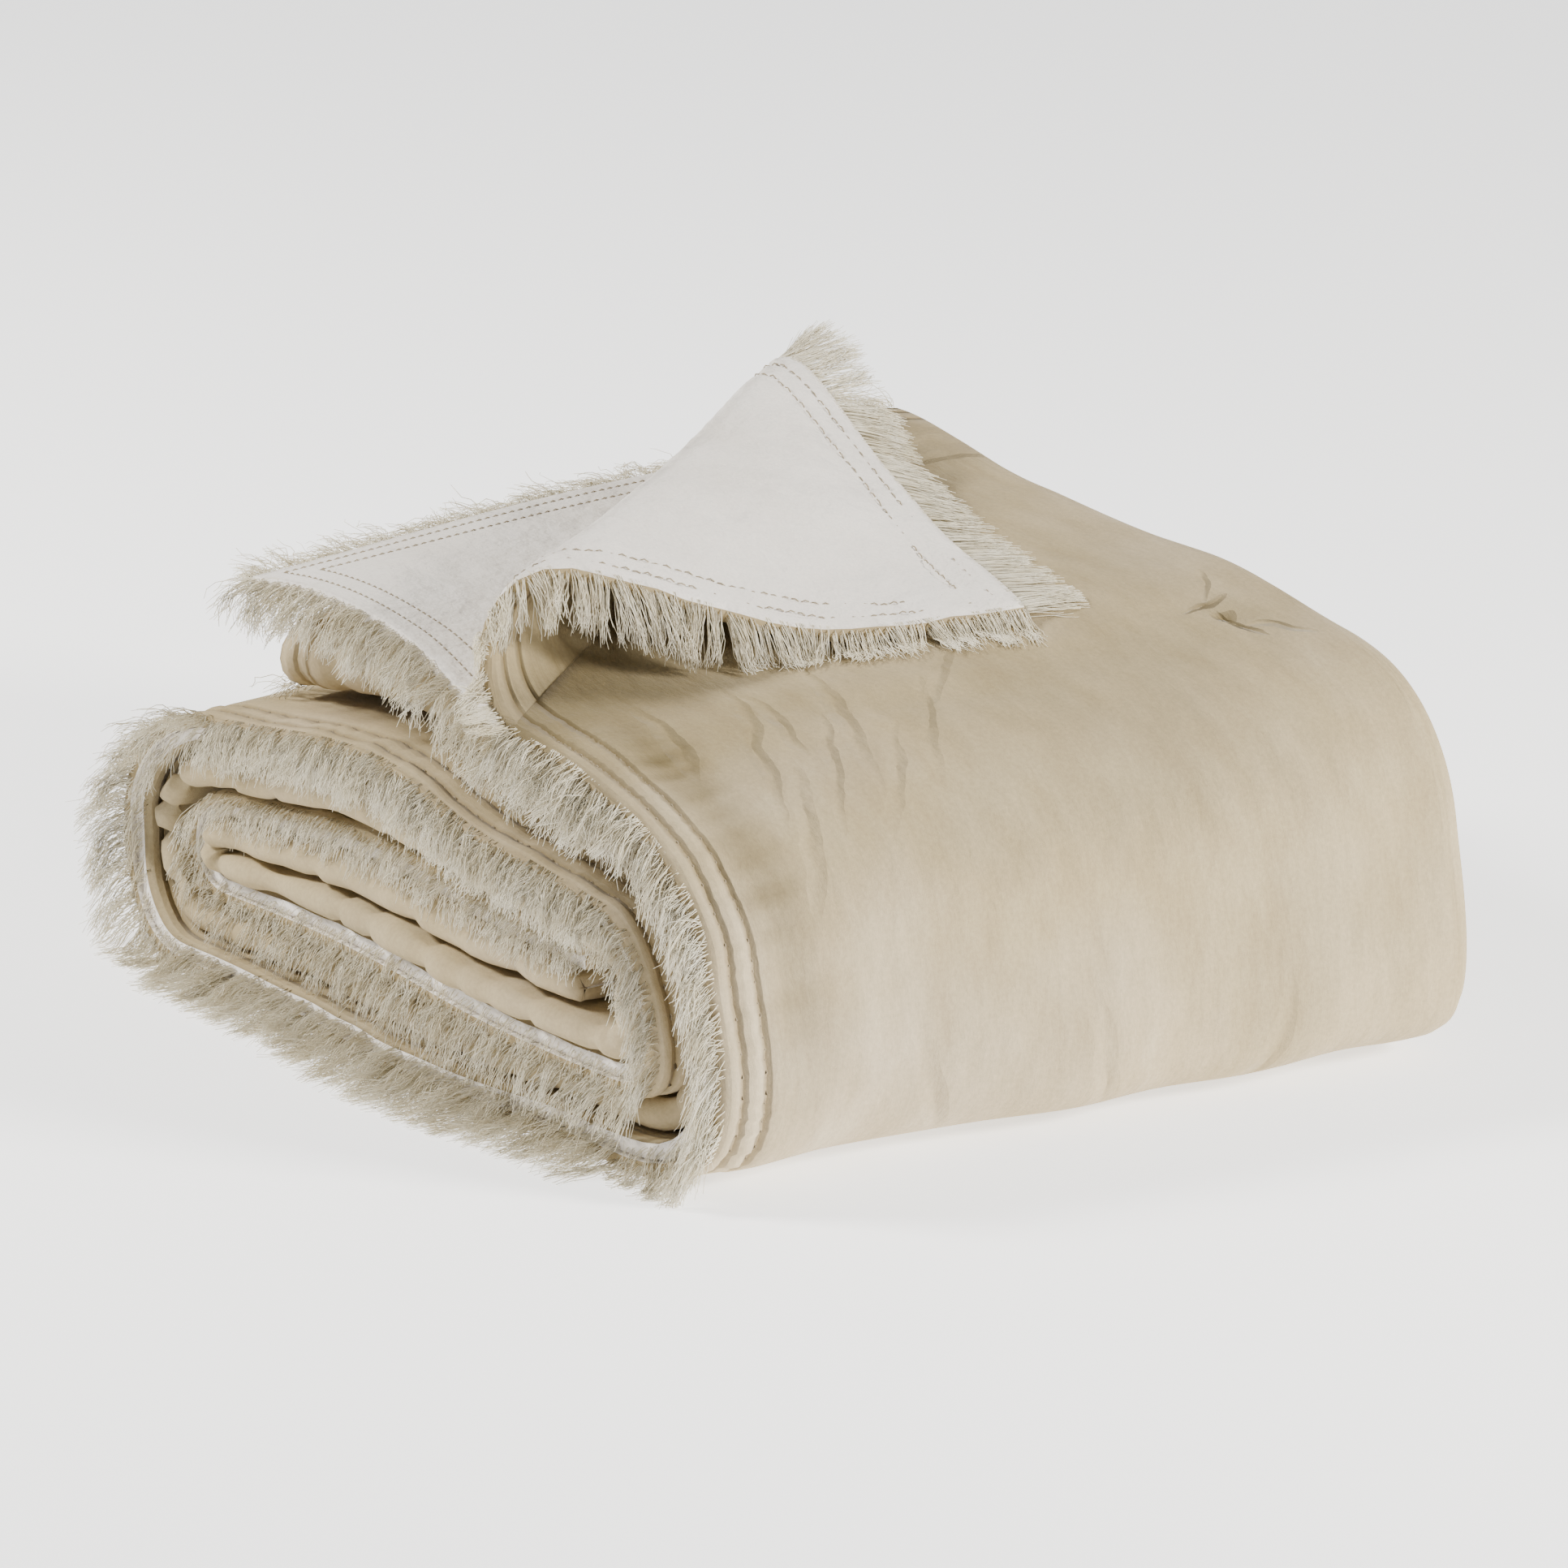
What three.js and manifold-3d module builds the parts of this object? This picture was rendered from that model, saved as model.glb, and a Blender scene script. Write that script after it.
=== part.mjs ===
// A quilted bedspread with a frayed thread fringe, folded to a quarter of its width and rolled up flat.
// Millimetres, +Z up. X runs across the bundle, Y along the axis of the roll, with the fringed end at -Y.
// The origin is at the middle of the bundle, on the surface that it rests on.
import * as THREE from 'three';
import { mergeVertices } from 'three/addons/utils/BufferGeometryUtils.js';
import Module from 'manifold-3d';

const wasm = await Module();
wasm.setup();

// Driving dimensions of the cloth and its folds
const HALF_LENGTH = 225;          // half of the folded width, along Y
const FAR_END = 233;              // the far folds of the outer turn
const THICK = 8.6;                // the quilted cloth
const PITCH = 9.6;                // from one layer of the fold to the next
const FRINGE = 38;                // length of the threads at the hem
const PIECE_GAP = 0.3;            // clear space between two pieces
const MIDDLE = { x: -2.69, y: 33.44 };  // moves the middle of the whole bundle to the origin

// Levels of the folded cloth in the flat roll: height of its middle, and where its straight runs turn
const OUTER_REACH = 1.5 * PITCH + THICK / 2;
const LEVEL = { bottom: OUTER_REACH, lower: 58.5, core: 97.5, upper: 148, upperEnd: 137, flap: 200 };
const TURN = { right: 171, left: -214, innerRight: 180, innerLeft: -210 };
const FREE_END = -206;
const CORE_END = 145;
const FLAP_LIFT = 42;             // the free end stands higher than the rest of the top

// Offsets of the four layers from the middle of the fold, outermost first: the inner two hang loose in places
const SNUG = [1.5 * PITCH, 0.5 * PITCH, -0.5 * PITCH, -1.5 * PITCH];
const LAYERS = [
  { leg: 'flap', share: 0, offsets: [SNUG[0], SNUG[1], -29, -64] },
  { leg: 'flap', share: 0.4, offsets: [SNUG[0], SNUG[1], -16, -38] },
  { leg: 'flap', share: 0.9, offsets: SNUG },
  { leg: 'left_outer', share: 0.4, offsets: SNUG },
  { leg: 'upper', share: 0, offsets: [SNUG[0], SNUG[1], -15.5, -26] },
  { leg: 'upper', share: 0.4, offsets: [SNUG[0], SNUG[1], -12.5, -22] },
  { leg: 'upper', share: 0.8, offsets: SNUG },
];

// Where the near hems and the near fold of the inner layers lie along Y. The turns have slid past each other.
const NEAR_ENDS = [
  { leg: 'flap', share: 0, hem: -225, fold: -207 },
  { leg: 'flap', share: 1, hem: -225, fold: -212 },
  { leg: 'right_outer', share: 0.5, hem: -228, fold: -218 },
  { leg: 'bottom', share: 0, hem: -243, fold: -232 },
  { leg: 'bottom', share: 0.5, hem: -267, fold: -252 },
  { leg: 'bottom', share: 1, hem: -267, fold: -254 },
  { leg: 'left_outer', share: 0.5, hem: -251, fold: -246 },
  { leg: 'upper', share: 0, hem: -246, fold: -246 },
  { leg: 'upper', share: 0.5, hem: -245, fold: -246 },
  { leg: 'upper', share: 1, hem: -243, fold: -245 },
  { leg: 'right_inner', share: 0.5, hem: -241, fold: -244 },
  { leg: 'lower', share: 0.5, hem: -246, fold: -254 },
  { leg: 'lower', share: 1, hem: -243, fold: -251 },
  { leg: 'left_inner', share: 0.5, hem: -241, fold: -249 },
  { leg: 'core', share: 0.5, hem: -238, fold: -248 },
  { leg: 'core', share: 1, hem: -233, fold: -242 },
];
const INNER_HEM = 3;              // the second layer's hem lies this far behind the first one's

// The corner of the top layer that is turned back: its fold line, its tip and the size of its roll
const FOLD = {
  x: 62, y: -HALF_LENGTH,         // where the fold line leaves the near hem
  dx: -0.576, dy: 0.8174,         // direction of the fold line
  tipAlong: 225, tipAcross: 273,  // the cloth's corner, measured from the fold line
  rollStart: 33, rollEnd: 23,     // radius of the fold at the near hem, and from the settled length on
  settled: 190,
  fullness: 0.78,                 // how far the end hem bows out
  overlap: 6, thin: 1.4, descent: 140,
  rows: { margin: 3, steps: 10, crowd: 1.6 },
};
FOLD.length = (FREE_END - FOLD.x) / FOLD.dx;

// The sag of the whole bundle: sideways at the right in millimetres, and shares of the height at both ends
const SAG = {
  foot: 36, lean: 74, leansUpTo: 130, flare: 23,
  near: { left: 0.03, middle: 0.11, right: 0.07 },
  far: { left: 0.115, middle: 0.085, right: 0.075 },
  sunkLeft: 0.18,
};
const HEIGHT = LEVEL.flap + OUTER_REACH;

// The thread fringe: a narrow backing strip, and the locks that hang from it
const STRIP = { wide: 4, thick: 3.6, span: 45 };
const LOCK = { pitch: 36, pitchOnCorner: 22, wide: 10, thick: 3.4, root: 2.2, droop: 20, fade: 40 };

const smooth = (from, to, value) => {
  const t = Math.min(1, Math.max(0, (value - from) / (to - from)));
  return t * t * (3 - 2 * t);
};
const mix = (a, b, t) => a + (b - a) * t;

// The middle line of the folded cloth, from its free end on top to the core: straight runs and half turns
function run(name, from, to, z) {
  return { name, length: Math.abs(to - from), from, dir: Math.sign(to - from), z, steps: 6 };
}

function turn(name, x, top, bottom, side, steps) {
  const radius = Math.abs(top - bottom) / 2;
  const z = (top + bottom) / 2;
  return { name, length: Math.PI * radius, x, z, radius, side, down: top > bottom, steps };
}

const PATH = [
  run('flap', FREE_END, TURN.right, LEVEL.flap),
  turn('right_outer', TURN.right, LEVEL.flap, LEVEL.bottom, 1, 9),
  run('bottom', TURN.right, TURN.left, LEVEL.bottom),
  turn('left_outer', TURN.left, LEVEL.bottom, LEVEL.upper, -1, 7),
  run('upper', TURN.left, TURN.innerRight, LEVEL.upper),
  turn('right_inner', TURN.innerRight, LEVEL.upperEnd, LEVEL.lower, 1, 6),
  run('lower', TURN.innerRight, TURN.innerLeft, LEVEL.lower),
  turn('left_inner', TURN.innerLeft, LEVEL.lower, LEVEL.core, -1, 5),
  run('core', TURN.innerLeft, CORE_END, LEVEL.core),
];
let total = 0;
for (const leg of PATH) {
  leg.start = total;
  total += leg.length;
}

// Height and outward direction of the middle line at s
function pathAt(s) {
  const leg = PATH.find((item) => s <= item.start + item.length) ?? PATH[PATH.length - 1];
  const along = s - leg.start;
  if (leg.dir) {
    const share = along / leg.length;
    let z = leg.z;
    if (leg.name === 'flap') z += FLAP_LIFT * (1 - smooth(0, 0.62, share));
    if (leg.name === 'upper') z = mix(LEVEL.upper, LEVEL.upperEnd, smooth(0.1, 1, share));
    return { x: leg.from + leg.dir * along, z, nx: 0, nz: leg.dir };
  }
  const angle = along / leg.radius;
  const nx = leg.side * Math.sin(angle);
  const nz = (leg.down ? 1 : -1) * Math.cos(angle);
  return { x: leg.x + leg.radius * nx, z: leg.z + leg.radius * nz, nx, nz };
}

// The rows of a table on both sides of s, and how far s is from the one to the other
function between(table, s) {
  const startOf = (row) => {
    const leg = PATH.find((item) => item.name === row.leg);
    return leg.start + leg.length * row.share;
  };
  const next = table.findIndex((row) => startOf(row) > s);
  if (next < 0) return [table[table.length - 1], table[table.length - 1], 0];
  return [table[next - 1], table[next], smooth(startOf(table[next - 1]), startOf(table[next]), s)];
}

function layerOffsets(s) {
  const [a, b, t] = between(LAYERS, s);
  return a.offsets.map((value, k) => mix(value, b.offsets[k], t));
}

const slide = (s) => 2 * Math.sin(s / 83);
const foldLineY = (s) => FOLD.y + (FREE_END + s - FOLD.x) / FOLD.dx * FOLD.dy;
const FOLD_AT = FOLD.x - FREE_END;

// Where the hems of the first and second layers and the fold of the other two lie, along Y
function nearEdge(layer, s) {
  if (layer === 0 && s < FOLD_AT) return foldLineY(s);
  const [a, b, t] = between(NEAR_ENDS, s);
  if (layer === 0) return mix(FOLD.y, mix(a.hem, b.hem, t) + slide(s), smooth(FOLD_AT, FOLD_AT + 120, s));
  if (layer === 1) return mix(a.hem, b.hem, t) + INNER_HEM + slide(s);
  return mix(a.fold, b.fold, t) + slide(s + 60);
}

// Where the far folds lie: a turn that has slid out at the near end is drawn in at the far end
function farEdge(s) {
  const [a, b, t] = between(NEAR_ENDS, s);
  return FAR_END + 0.8 * (mix(a.hem, b.hem, t) + HALF_LENGTH);
}

// How the whole bundle sags out of its regular form, with its underside left flat. At the right its shoulder
// comes down and its foot spreads. At the left the roll sinks. The near end is the lower one.
function sag(x, y, z) {
  const right = smooth(110, 250, x);
  const left = smooth(20, -260, x);
  const away = y / HALF_LENGTH;
  const leaning = Math.sin(Math.PI / 2 * Math.min(1, z / SAG.leansUpTo));
  const near = SAG.near.left - SAG.near.middle * smooth(-60, 90, x) - SAG.near.right * smooth(90, 200, x);
  const far = SAG.far.left - SAG.far.middle * smooth(-215, -75, x) - SAG.far.right * smooth(60, 200, x);
  const waves = 1.5 * Math.sin(x / 55 + y / 90) + 1.2 * Math.sin(y / 60 - x / 120);
  const rise = mix(near, far, (1 + away) / 2) * z / HEIGHT - SAG.sunkLeft * left + waves / HEIGHT;
  return new THREE.Vector3(
    x + MIDDLE.x + right * (SAG.foot - SAG.lean * leaning + SAG.flare * (1 + away)),
    y + MIDDLE.y + 4 * Math.sin(x / 70) * away,
    z * (1 + rise),
  );
}

// A point of the folded cloth: s along the roll, n out of the fold, y along the axis
function place(s, n, y) {
  const at = pathAt(s);
  return sag(at.x + at.nx * n, y, at.z + at.nz * n);
}

// Stations along one strip of the folded cloth, through its four layers and three creases
function foldStations(s) {
  const [n1, n2, n3, n4] = layerOffsets(s);
  const stations = [];
  const farCentre = farEdge(s) - THICK / 2 - (n1 - n4) / 2;
  const nearRadius = (n3 - n4) / 2;
  const nearCentre = nearEdge(2, s) + THICK / 2 + nearRadius;
  const layer = (n, from, to, count, side) => {
    for (let i = 0; i <= count; i += 1) stations.push({ n, y: mix(from, to, i / count), vn: side, vy: 0 });
  };
  const crease = (high, low, centre, count, startSide, towards, velvetOut) => {
    const radius = Math.abs(high - low) / 2;
    const middle = (high + low) / 2;
    for (let i = 1; i < count; i += 1) {
      const angle = Math.PI * i / count;
      const cn = startSide * Math.cos(angle);
      const cy = towards * Math.sin(angle);
      stations.push({
        n: middle + radius * cn, y: centre + radius * cy, vn: velvetOut * cn, vy: velvetOut * cy,
      });
    }
  };
  layer(n1, nearEdge(0, s), farCentre, 4, 1);
  crease(n1, n4, farCentre, 5, 1, 1, 1);
  layer(n4, farCentre, nearCentre, 2, -1);
  crease(n3, n4, nearCentre, 3, -1, -1, 1);
  layer(n3, nearCentre, farCentre, 2, 1);
  crease(n2, n3, farCentre, 3, -1, 1, -1);
  layer(n2, farCentre, nearEdge(1, s), 2, -1);
  return stations;
}

// One closed solid from a row of sections with the same number of points
function loft(rings, capTriangles) {
  const positions = [];
  const triangles = [];
  const count = rings[0].length;
  for (const ring of rings) for (const point of ring) positions.push(point.x, point.y, point.z);
  for (let r = 0; r + 1 < rings.length; r += 1) {
    for (let i = 0; i < count; i += 1) {
      const a = r * count + i;
      const b = r * count + (i + 1) % count;
      triangles.push(a, b, b + count, a, b + count, a + count);
    }
  }
  const last = (rings.length - 1) * count;
  for (const [a, b, c] of capTriangles) triangles.push(a, c, b, last + a, last + b, last + c);
  const geometry = new THREE.BufferGeometry();
  geometry.setAttribute('position', new THREE.Float32BufferAttribute(positions, 3));
  geometry.setIndex(triangles);
  return facingOut(geometry);
}

function facingOut(geometry) {
  const p = geometry.getAttribute('position');
  const index = geometry.getIndex();
  const corners = [new THREE.Vector3(), new THREE.Vector3(), new THREE.Vector3()];
  let volume = 0;
  for (let i = 0; i < index.count; i += 3) {
    corners.forEach((corner, k) => corner.fromBufferAttribute(p, index.getX(i + k)));
    volume += corners[0].dot(corners[1].cross(corners[2]));
  }
  if (volume > 0) return geometry;
  for (let i = 0; i < index.count; i += 3) {
    const keep = index.getX(i);
    index.setX(i, index.getX(i + 1));
    index.setX(i + 1, keep);
  }
  return geometry;
}

// The two ends of a loft around paired points: the first half of a ring runs out, the second half runs back
function pairedCap(count) {
  const half = count / 2;
  const cap = [];
  for (let i = 0; i + 1 < half; i += 1) {
    cap.push([i, i + 1, count - 2 - i], [i, count - 2 - i, count - 1 - i]);
  }
  return cap;
}

function sections() {
  const places = [0];
  for (const leg of PATH) {
    for (let i = 1; i <= leg.steps; i += 1) places.push(leg.start + leg.length * i / leg.steps);
  }
  places.push(FOLD_AT);
  return places.sort((a, b) => a - b);
}

// The whole folded and rolled cloth but for its turned corner
function rolledCloth() {
  const rings = sections().map((s) => {
    const stations = foldStations(s);
    const velvet = stations.map((p) => place(s, p.n + p.vn * THICK / 2, p.y + p.vy * THICK / 2));
    const lining = stations.map((p) => place(s, p.n - p.vn * THICK / 2, p.y - p.vy * THICK / 2));
    return [...velvet, ...lining.reverse()];
  });
  return loft(rings, pairedCap(rings[0].length));
}

// A point of the turned corner: a along the fold line, b across it from the fold, h above its middle
function cornerPoint(a, b, h) {
  const radius = mix(FOLD.rollStart, FOLD.rollEnd, smooth(0, FOLD.settled, a));
  const half = Math.PI * radius;
  const rest = PITCH;
  let across;
  let up;
  let normal;
  if (b < 0) {
    across = -b;
    up = 0;
    normal = [0, -1];
  } else if (b <= half) {
    const angle = b / radius;
    across = -radius * Math.sin(angle);
    up = radius * (1 - Math.cos(angle));
    normal = [-Math.sin(angle), -Math.cos(angle)];
  } else {
    across = b - half;
    up = rest + (2 * radius - rest) * (1 - smooth(0, FOLD.descent, across));
    normal = [0, 1];
  }
  across += normal[0] * h;
  up += normal[1] * h;
  const x = FOLD.x + FOLD.dx * a + FOLD.dy * across;
  const y = FOLD.y + FOLD.dy * a - FOLD.dx * across;
  const s = Math.min(PATH[0].length, Math.max(0, x - FREE_END));
  return sag(x, y, pathAt(s).z + LAYERS[0].offsets[0] + up);
}

function cornerReach(a) {
  if (a < FOLD.tipAlong) return FOLD.tipAcross * a / FOLD.tipAlong;
  return FOLD.tipAcross * Math.max(0, (FOLD.length - a) / (FOLD.length - FOLD.tipAlong)) ** FOLD.fullness;
}

// Rows of the turned corner, closer together where its hems run round the fold
function cornerRows() {
  const { margin, steps, crowd } = FOLD.rows;
  const near = [];
  const end = [];
  for (let i = 0; i <= steps; i += 1) {
    const share = (i / steps) ** crowd;
    near.push(mix(margin, FOLD.tipAlong, share));
    end.unshift(mix(FOLD.length - margin, FOLD.tipAlong, share));
  }
  return { near, end };
}

function turnedCorner() {
  const { near, end } = cornerRows();
  const rows = [...near, ...end.slice(1)];
  const columns = 11;
  const rings = rows.map((a) => {
    const upper = [];
    const under = [];
    const spots = [-FOLD.overlap];
    for (let j = 0; j <= columns; j += 1) spots.push(cornerReach(a) * (j / columns) ** 1.6);
    for (const b of spots) {
      const half = (THICK - FOLD.thin * (1 - smooth(0, 4, b))) / 2;
      upper.push(cornerPoint(a, b, half));
      under.push(cornerPoint(a, b, -half));
    }
    return [...upper, ...under.reverse()];
  });
  return loft(rings, pairedCap(rings[0].length));
}

// Joining of closed meshes
function toSolid(geometry) {
  const merged = mergeVertices(geometry, 1e-4);
  return new wasm.Manifold(new wasm.Mesh({
    numProp: 3,
    vertProperties: new Float32Array(merged.getAttribute('position').array),
    triVerts: new Uint32Array(merged.getIndex().array),
  }));
}

function toGeometry(solid) {
  const mesh = solid.getMesh();
  const geometry = new THREE.BufferGeometry();
  geometry.setAttribute('position', new THREE.BufferAttribute(new Float32Array(mesh.vertProperties), 3));
  geometry.setIndex(new THREE.BufferAttribute(new Uint32Array(mesh.triVerts), 1));
  return geometry;
}

const SQUARE_CAP = [[0, 1, 2], [0, 2, 3]];

function evenStops(from, to, span) {
  const spans = Math.ceil((to - from) / span);
  return Array.from({ length: spans + 1 }, (_, i) => mix(from, to, i / spans));
}

// Stops of a near hem lie where the cloth has its own sections, so that the strip follows the cloth closely
function clothStops(from, to) {
  return [from, ...sections().filter((s) => s > from + 1 && s < to - 1), to];
}

// One fringe: edge(t, out, h) gives the point at t along the hem, out from its edge and h above its middle
function fringe(edge, stops, bend, pitch = LOCK.pitch) {
  const from = stops[0];
  const length = stops[stops.length - 1] - from;
  const [near, far, half] = [PIECE_GAP, PIECE_GAP + STRIP.wide, STRIP.thick / 2];
  const rings = stops.map((t) => [
    edge(t, near, -half), edge(t, far, -half), edge(t, far, half), edge(t, near, half),
  ]);
  // the strip is straight between two stops, and the roots follow it
  const onStrip = (t, out, h) => {
    const next = Math.max(1, stops.findIndex((stop) => stop >= t));
    const share = (t - stops[next - 1]) / (stops[next] - stops[next - 1]);
    return edge(stops[next - 1], out, h).lerp(edge(stops[next], out, h), share);
  };
  let solid = toSolid(loft(rings, SQUARE_CAP));
  const locks = Math.max(1, Math.round(length / pitch));
  for (let i = 0; i < locks; i += 1) {
    solid = solid.add(toSolid(lock(edge, onStrip, from + length * (i + 0.5) / locks, i, bend)));
  }
  return toGeometry(solid);
}

// One lock: three sides, from its root in the strip over its middle to a blunt point
function lock(edge, onStrip, t, number, bend) {
  const reach = FRINGE * (0.93 + 0.07 * Math.sin(number * 2.4));
  const stray = 2.5 * Math.sin(number * 1.7);
  const stops = [
    { at: onStrip, out: LOCK.root, wide: 0.75, thick: 0.8 },
    { at: edge, out: reach * 0.5, wide: 1, thick: 1 },
    { at: edge, out: reach, wide: 0.35, thick: 1 },
  ];
  const rings = stops.map(({ at, out, wide, thick }) => {
    const side = LOCK.wide * wide / 2;
    const half = LOCK.thick * thick / 2;
    const drift = stray * out / reach;
    return [
      bend(at(t + drift - side, out, -half), edge(t, LOCK.root, 0), out / reach),
      bend(at(t + drift + side, out, -half), edge(t, LOCK.root, 0), out / reach),
      bend(at(t + drift, out, half), edge(t, LOCK.root, 0), out / reach),
    ];
  });
  return loft(rings, [[0, 1, 2]]);
}

// Locks of the near hems droop, and those at the bottom come to lie on the floor
function droopAtNearHem(point, root, share) {
  const aboveFloor = Math.max(0, root.z - THICK / 2);
  const drop = LOCK.droop * (1 - Math.exp(-aboveFloor / LOCK.fade)) + (THICK - LOCK.thick) / 2;
  return new THREE.Vector3(point.x, point.y, Math.max(0, point.z - drop * share ** 1.5));
}

// Locks of the free end droop towards the roll below them, the upper layers' locks more than the lower ones
function droopAtFreeEnd(point, root, share) {
  const restHeight = 150;
  return new THREE.Vector3(point.x, point.y, point.z - 0.3 * (root.z - restHeight) * share ** 1.5);
}

// Locks of the turned corner lie down on the velvet
function layDown(point, root, share) {
  return new THREE.Vector3(point.x, point.y, point.z - 2.6 * share);
}

const nearHem = (layer) => (s, out, h) => place(s, layerOffsets(s)[layer] + h, nearEdge(layer, s) - out);
const freeHem = (layer) => (y, out, h) => sag(FREE_END - out, y, pathAt(0).z + layerOffsets(0)[layer] + h);

// A hem of the turned corner, at a along the fold line: side is -1 before its tip and 1 past it
function cornerHem(side, a, out, h) {
  const slope = (cornerReach(a + side * 0.5) - cornerReach(a)) / (side * 0.5);
  const length = Math.hypot(1, slope);
  return cornerPoint(a + side * out * Math.abs(slope) / length, cornerReach(a) + out / length, h);
}
const cornerNearHem = (a, out, h) => cornerHem(-1, a, out, h);
const cornerEndHem = (a, out, h) => cornerHem(1, a, out, h);

const group = new THREE.Group();

function addPiece(name, geometry, color, roughness) {
  const material = new THREE.MeshStandardMaterial({ color, roughness, metalness: 0 });
  const mesh = new THREE.Mesh(geometry, material);
  mesh.name = name;
  group.add(mesh);
}

const VELVET = 0xcdbfa6;
const THREAD = 0xe6ddca;
addPiece('quilt', toGeometry(toSolid(rolledCloth()).add(toSolid(turnedCorner()))), VELVET, 0.9);

// The near hems of the first two layers, one backing for each run and turn of the roll
const SPLIT = 0.2;
for (const leg of PATH) {
  for (const layer of [0, 1]) {
    const from = leg.name === 'flap' && layer === 0 ? FOLD_AT + 25 : leg.start + SPLIT;
    const stops = clothStops(from, leg.start + leg.length - SPLIT);
    const geometry = fringe(nearHem(layer), stops, droopAtNearHem);
    addPiece(`fringe_${leg.name}_${layer === 0 ? 'outer' : 'inner'}`, geometry, THREAD, 0.95);
  }
}

// The free end of each layer
const FREE_HEM = { near: 4, far: 30, clearOfFold: 18 };
for (let layer = 0; layer < 4; layer += 1) {
  const from = layer === 0 ? foldLineY(0) + FREE_HEM.clearOfFold : nearEdge(layer, 0) + FREE_HEM.near;
  const stops = evenStops(from, HALF_LENGTH - FREE_HEM.far, STRIP.span);
  const geometry = fringe(freeHem(layer), stops, droopAtFreeEnd);
  addPiece(`fringe_end_${layer + 1}`, geometry, THREAD, 0.95);
}

// The turned corner, from where its near hem has come up round the fold to where its end hem is back on it
const CORNER_HEM = { from: 8, tip: 1, to: 45 };
const cornerSpots = cornerRows();
const nearStops = cornerSpots.near.filter((a) => a > CORNER_HEM.from && a < FOLD.tipAlong - CORNER_HEM.tip);
const endStops = cornerSpots.end.filter((a) => a > FOLD.tipAlong && a < FOLD.length - CORNER_HEM.to);
const nearFringe = [...nearStops, FOLD.tipAlong - CORNER_HEM.tip];
const endFringe = [FOLD.tipAlong + CORNER_HEM.tip, ...endStops];
addPiece('fringe_corner_near', fringe(cornerNearHem, nearFringe, layDown, LOCK.pitchOnCorner), THREAD, 0.95);
addPiece('fringe_corner_end', fringe(cornerEndHem, endFringe, layDown, LOCK.pitchOnCorner), THREAD, 0.95);

export default group;
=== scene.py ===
"""A quilted velvet bedspread with a thread fringe: folded, rolled up flat, one corner turned back."""
import math

import bpy
import numpy as np
from mathutils import Matrix, Vector


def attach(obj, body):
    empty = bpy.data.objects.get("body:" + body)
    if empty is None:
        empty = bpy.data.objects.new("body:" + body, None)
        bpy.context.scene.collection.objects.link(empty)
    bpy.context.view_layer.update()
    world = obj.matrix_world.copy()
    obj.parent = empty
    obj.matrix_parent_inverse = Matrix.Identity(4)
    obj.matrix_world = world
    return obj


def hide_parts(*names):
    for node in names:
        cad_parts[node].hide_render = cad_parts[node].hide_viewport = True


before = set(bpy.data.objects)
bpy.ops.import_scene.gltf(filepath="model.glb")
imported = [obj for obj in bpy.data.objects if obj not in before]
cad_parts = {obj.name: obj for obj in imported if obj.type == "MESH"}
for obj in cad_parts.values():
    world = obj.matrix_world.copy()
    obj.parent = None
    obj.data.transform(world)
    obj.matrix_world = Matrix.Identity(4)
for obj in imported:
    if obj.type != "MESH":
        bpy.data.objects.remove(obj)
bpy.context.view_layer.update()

MM = 0.001
rng = np.random.default_rng(7)

# Sizes of the cloth and of its folds, in millimetres, as in the frame's solids
HALF_LENGTH = 225.0
FAR_END = 233.0
THICK = 8.6
HALF = THICK / 2
PITCH = 9.6
FRINGE = 38.0
MIDDLE = (-2.69, 33.44)
OUTER_REACH = 1.5 * PITCH + HALF
LEVEL = {
    "bottom": OUTER_REACH, "lower": 58.5, "core": 97.5,
    "upper": 148.0, "upper_end": 137.0, "flap": 200.0,
}
TURN = {"right": 171.0, "left": -214.0, "inner_right": 180.0, "inner_left": -210.0}
FREE_END = -206.0
CORE_END = 145.0
HEIGHT = LEVEL["flap"] + OUTER_REACH

# The flap's free end is lifted, and lies flat from this share of its length on
FLAP_LIFT, FLAP_SETTLED = 42.0, 0.62

# Offsets of the four layers from the middle of the fold, outermost first, at shares of the roll's legs
SNUG = (1.5 * PITCH, 0.5 * PITCH, -0.5 * PITCH, -1.5 * PITCH)
LAYERS = [
    ("flap", 0.0, (SNUG[0], SNUG[1], -29.0, -64.0)),
    ("flap", 0.4, (SNUG[0], SNUG[1], -16.0, -38.0)),
    ("flap", 0.9, SNUG),
    ("left_outer", 0.4, SNUG),
    ("upper", 0.0, (SNUG[0], SNUG[1], -15.5, -26.0)),
    ("upper", 0.4, (SNUG[0], SNUG[1], -12.5, -22.0)),
    ("upper", 0.8, SNUG),
]

# Where the near hem of the outer layer and the near fold of the inner ones lie along Y
NEAR_ENDS = [
    ("flap", 0.0, (-225.0, -207.0)),
    ("flap", 1.0, (-225.0, -212.0)),
    ("right_outer", 0.5, (-228.0, -218.0)),
    ("bottom", 0.0, (-243.0, -232.0)),
    ("bottom", 0.5, (-267.0, -252.0)),
    ("bottom", 1.0, (-267.0, -254.0)),
    ("left_outer", 0.5, (-251.0, -246.0)),
    ("upper", 0.0, (-246.0, -246.0)),
    ("upper", 0.5, (-245.0, -246.0)),
    ("upper", 1.0, (-243.0, -245.0)),
    ("right_inner", 0.5, (-241.0, -244.0)),
    ("lower", 0.5, (-246.0, -254.0)),
    ("lower", 1.0, (-243.0, -251.0)),
    ("left_inner", 0.5, (-241.0, -249.0)),
    ("core", 0.5, (-238.0, -248.0)),
    ("core", 1.0, (-233.0, -242.0)),
]
INNER_HEM = 3.0
HEM_WAVE, HEM_WAVE_LENGTH, FOLD_WAVE_START = 2.0, 83.0, 60.0
HEM_SETTLED = 120.0
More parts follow.
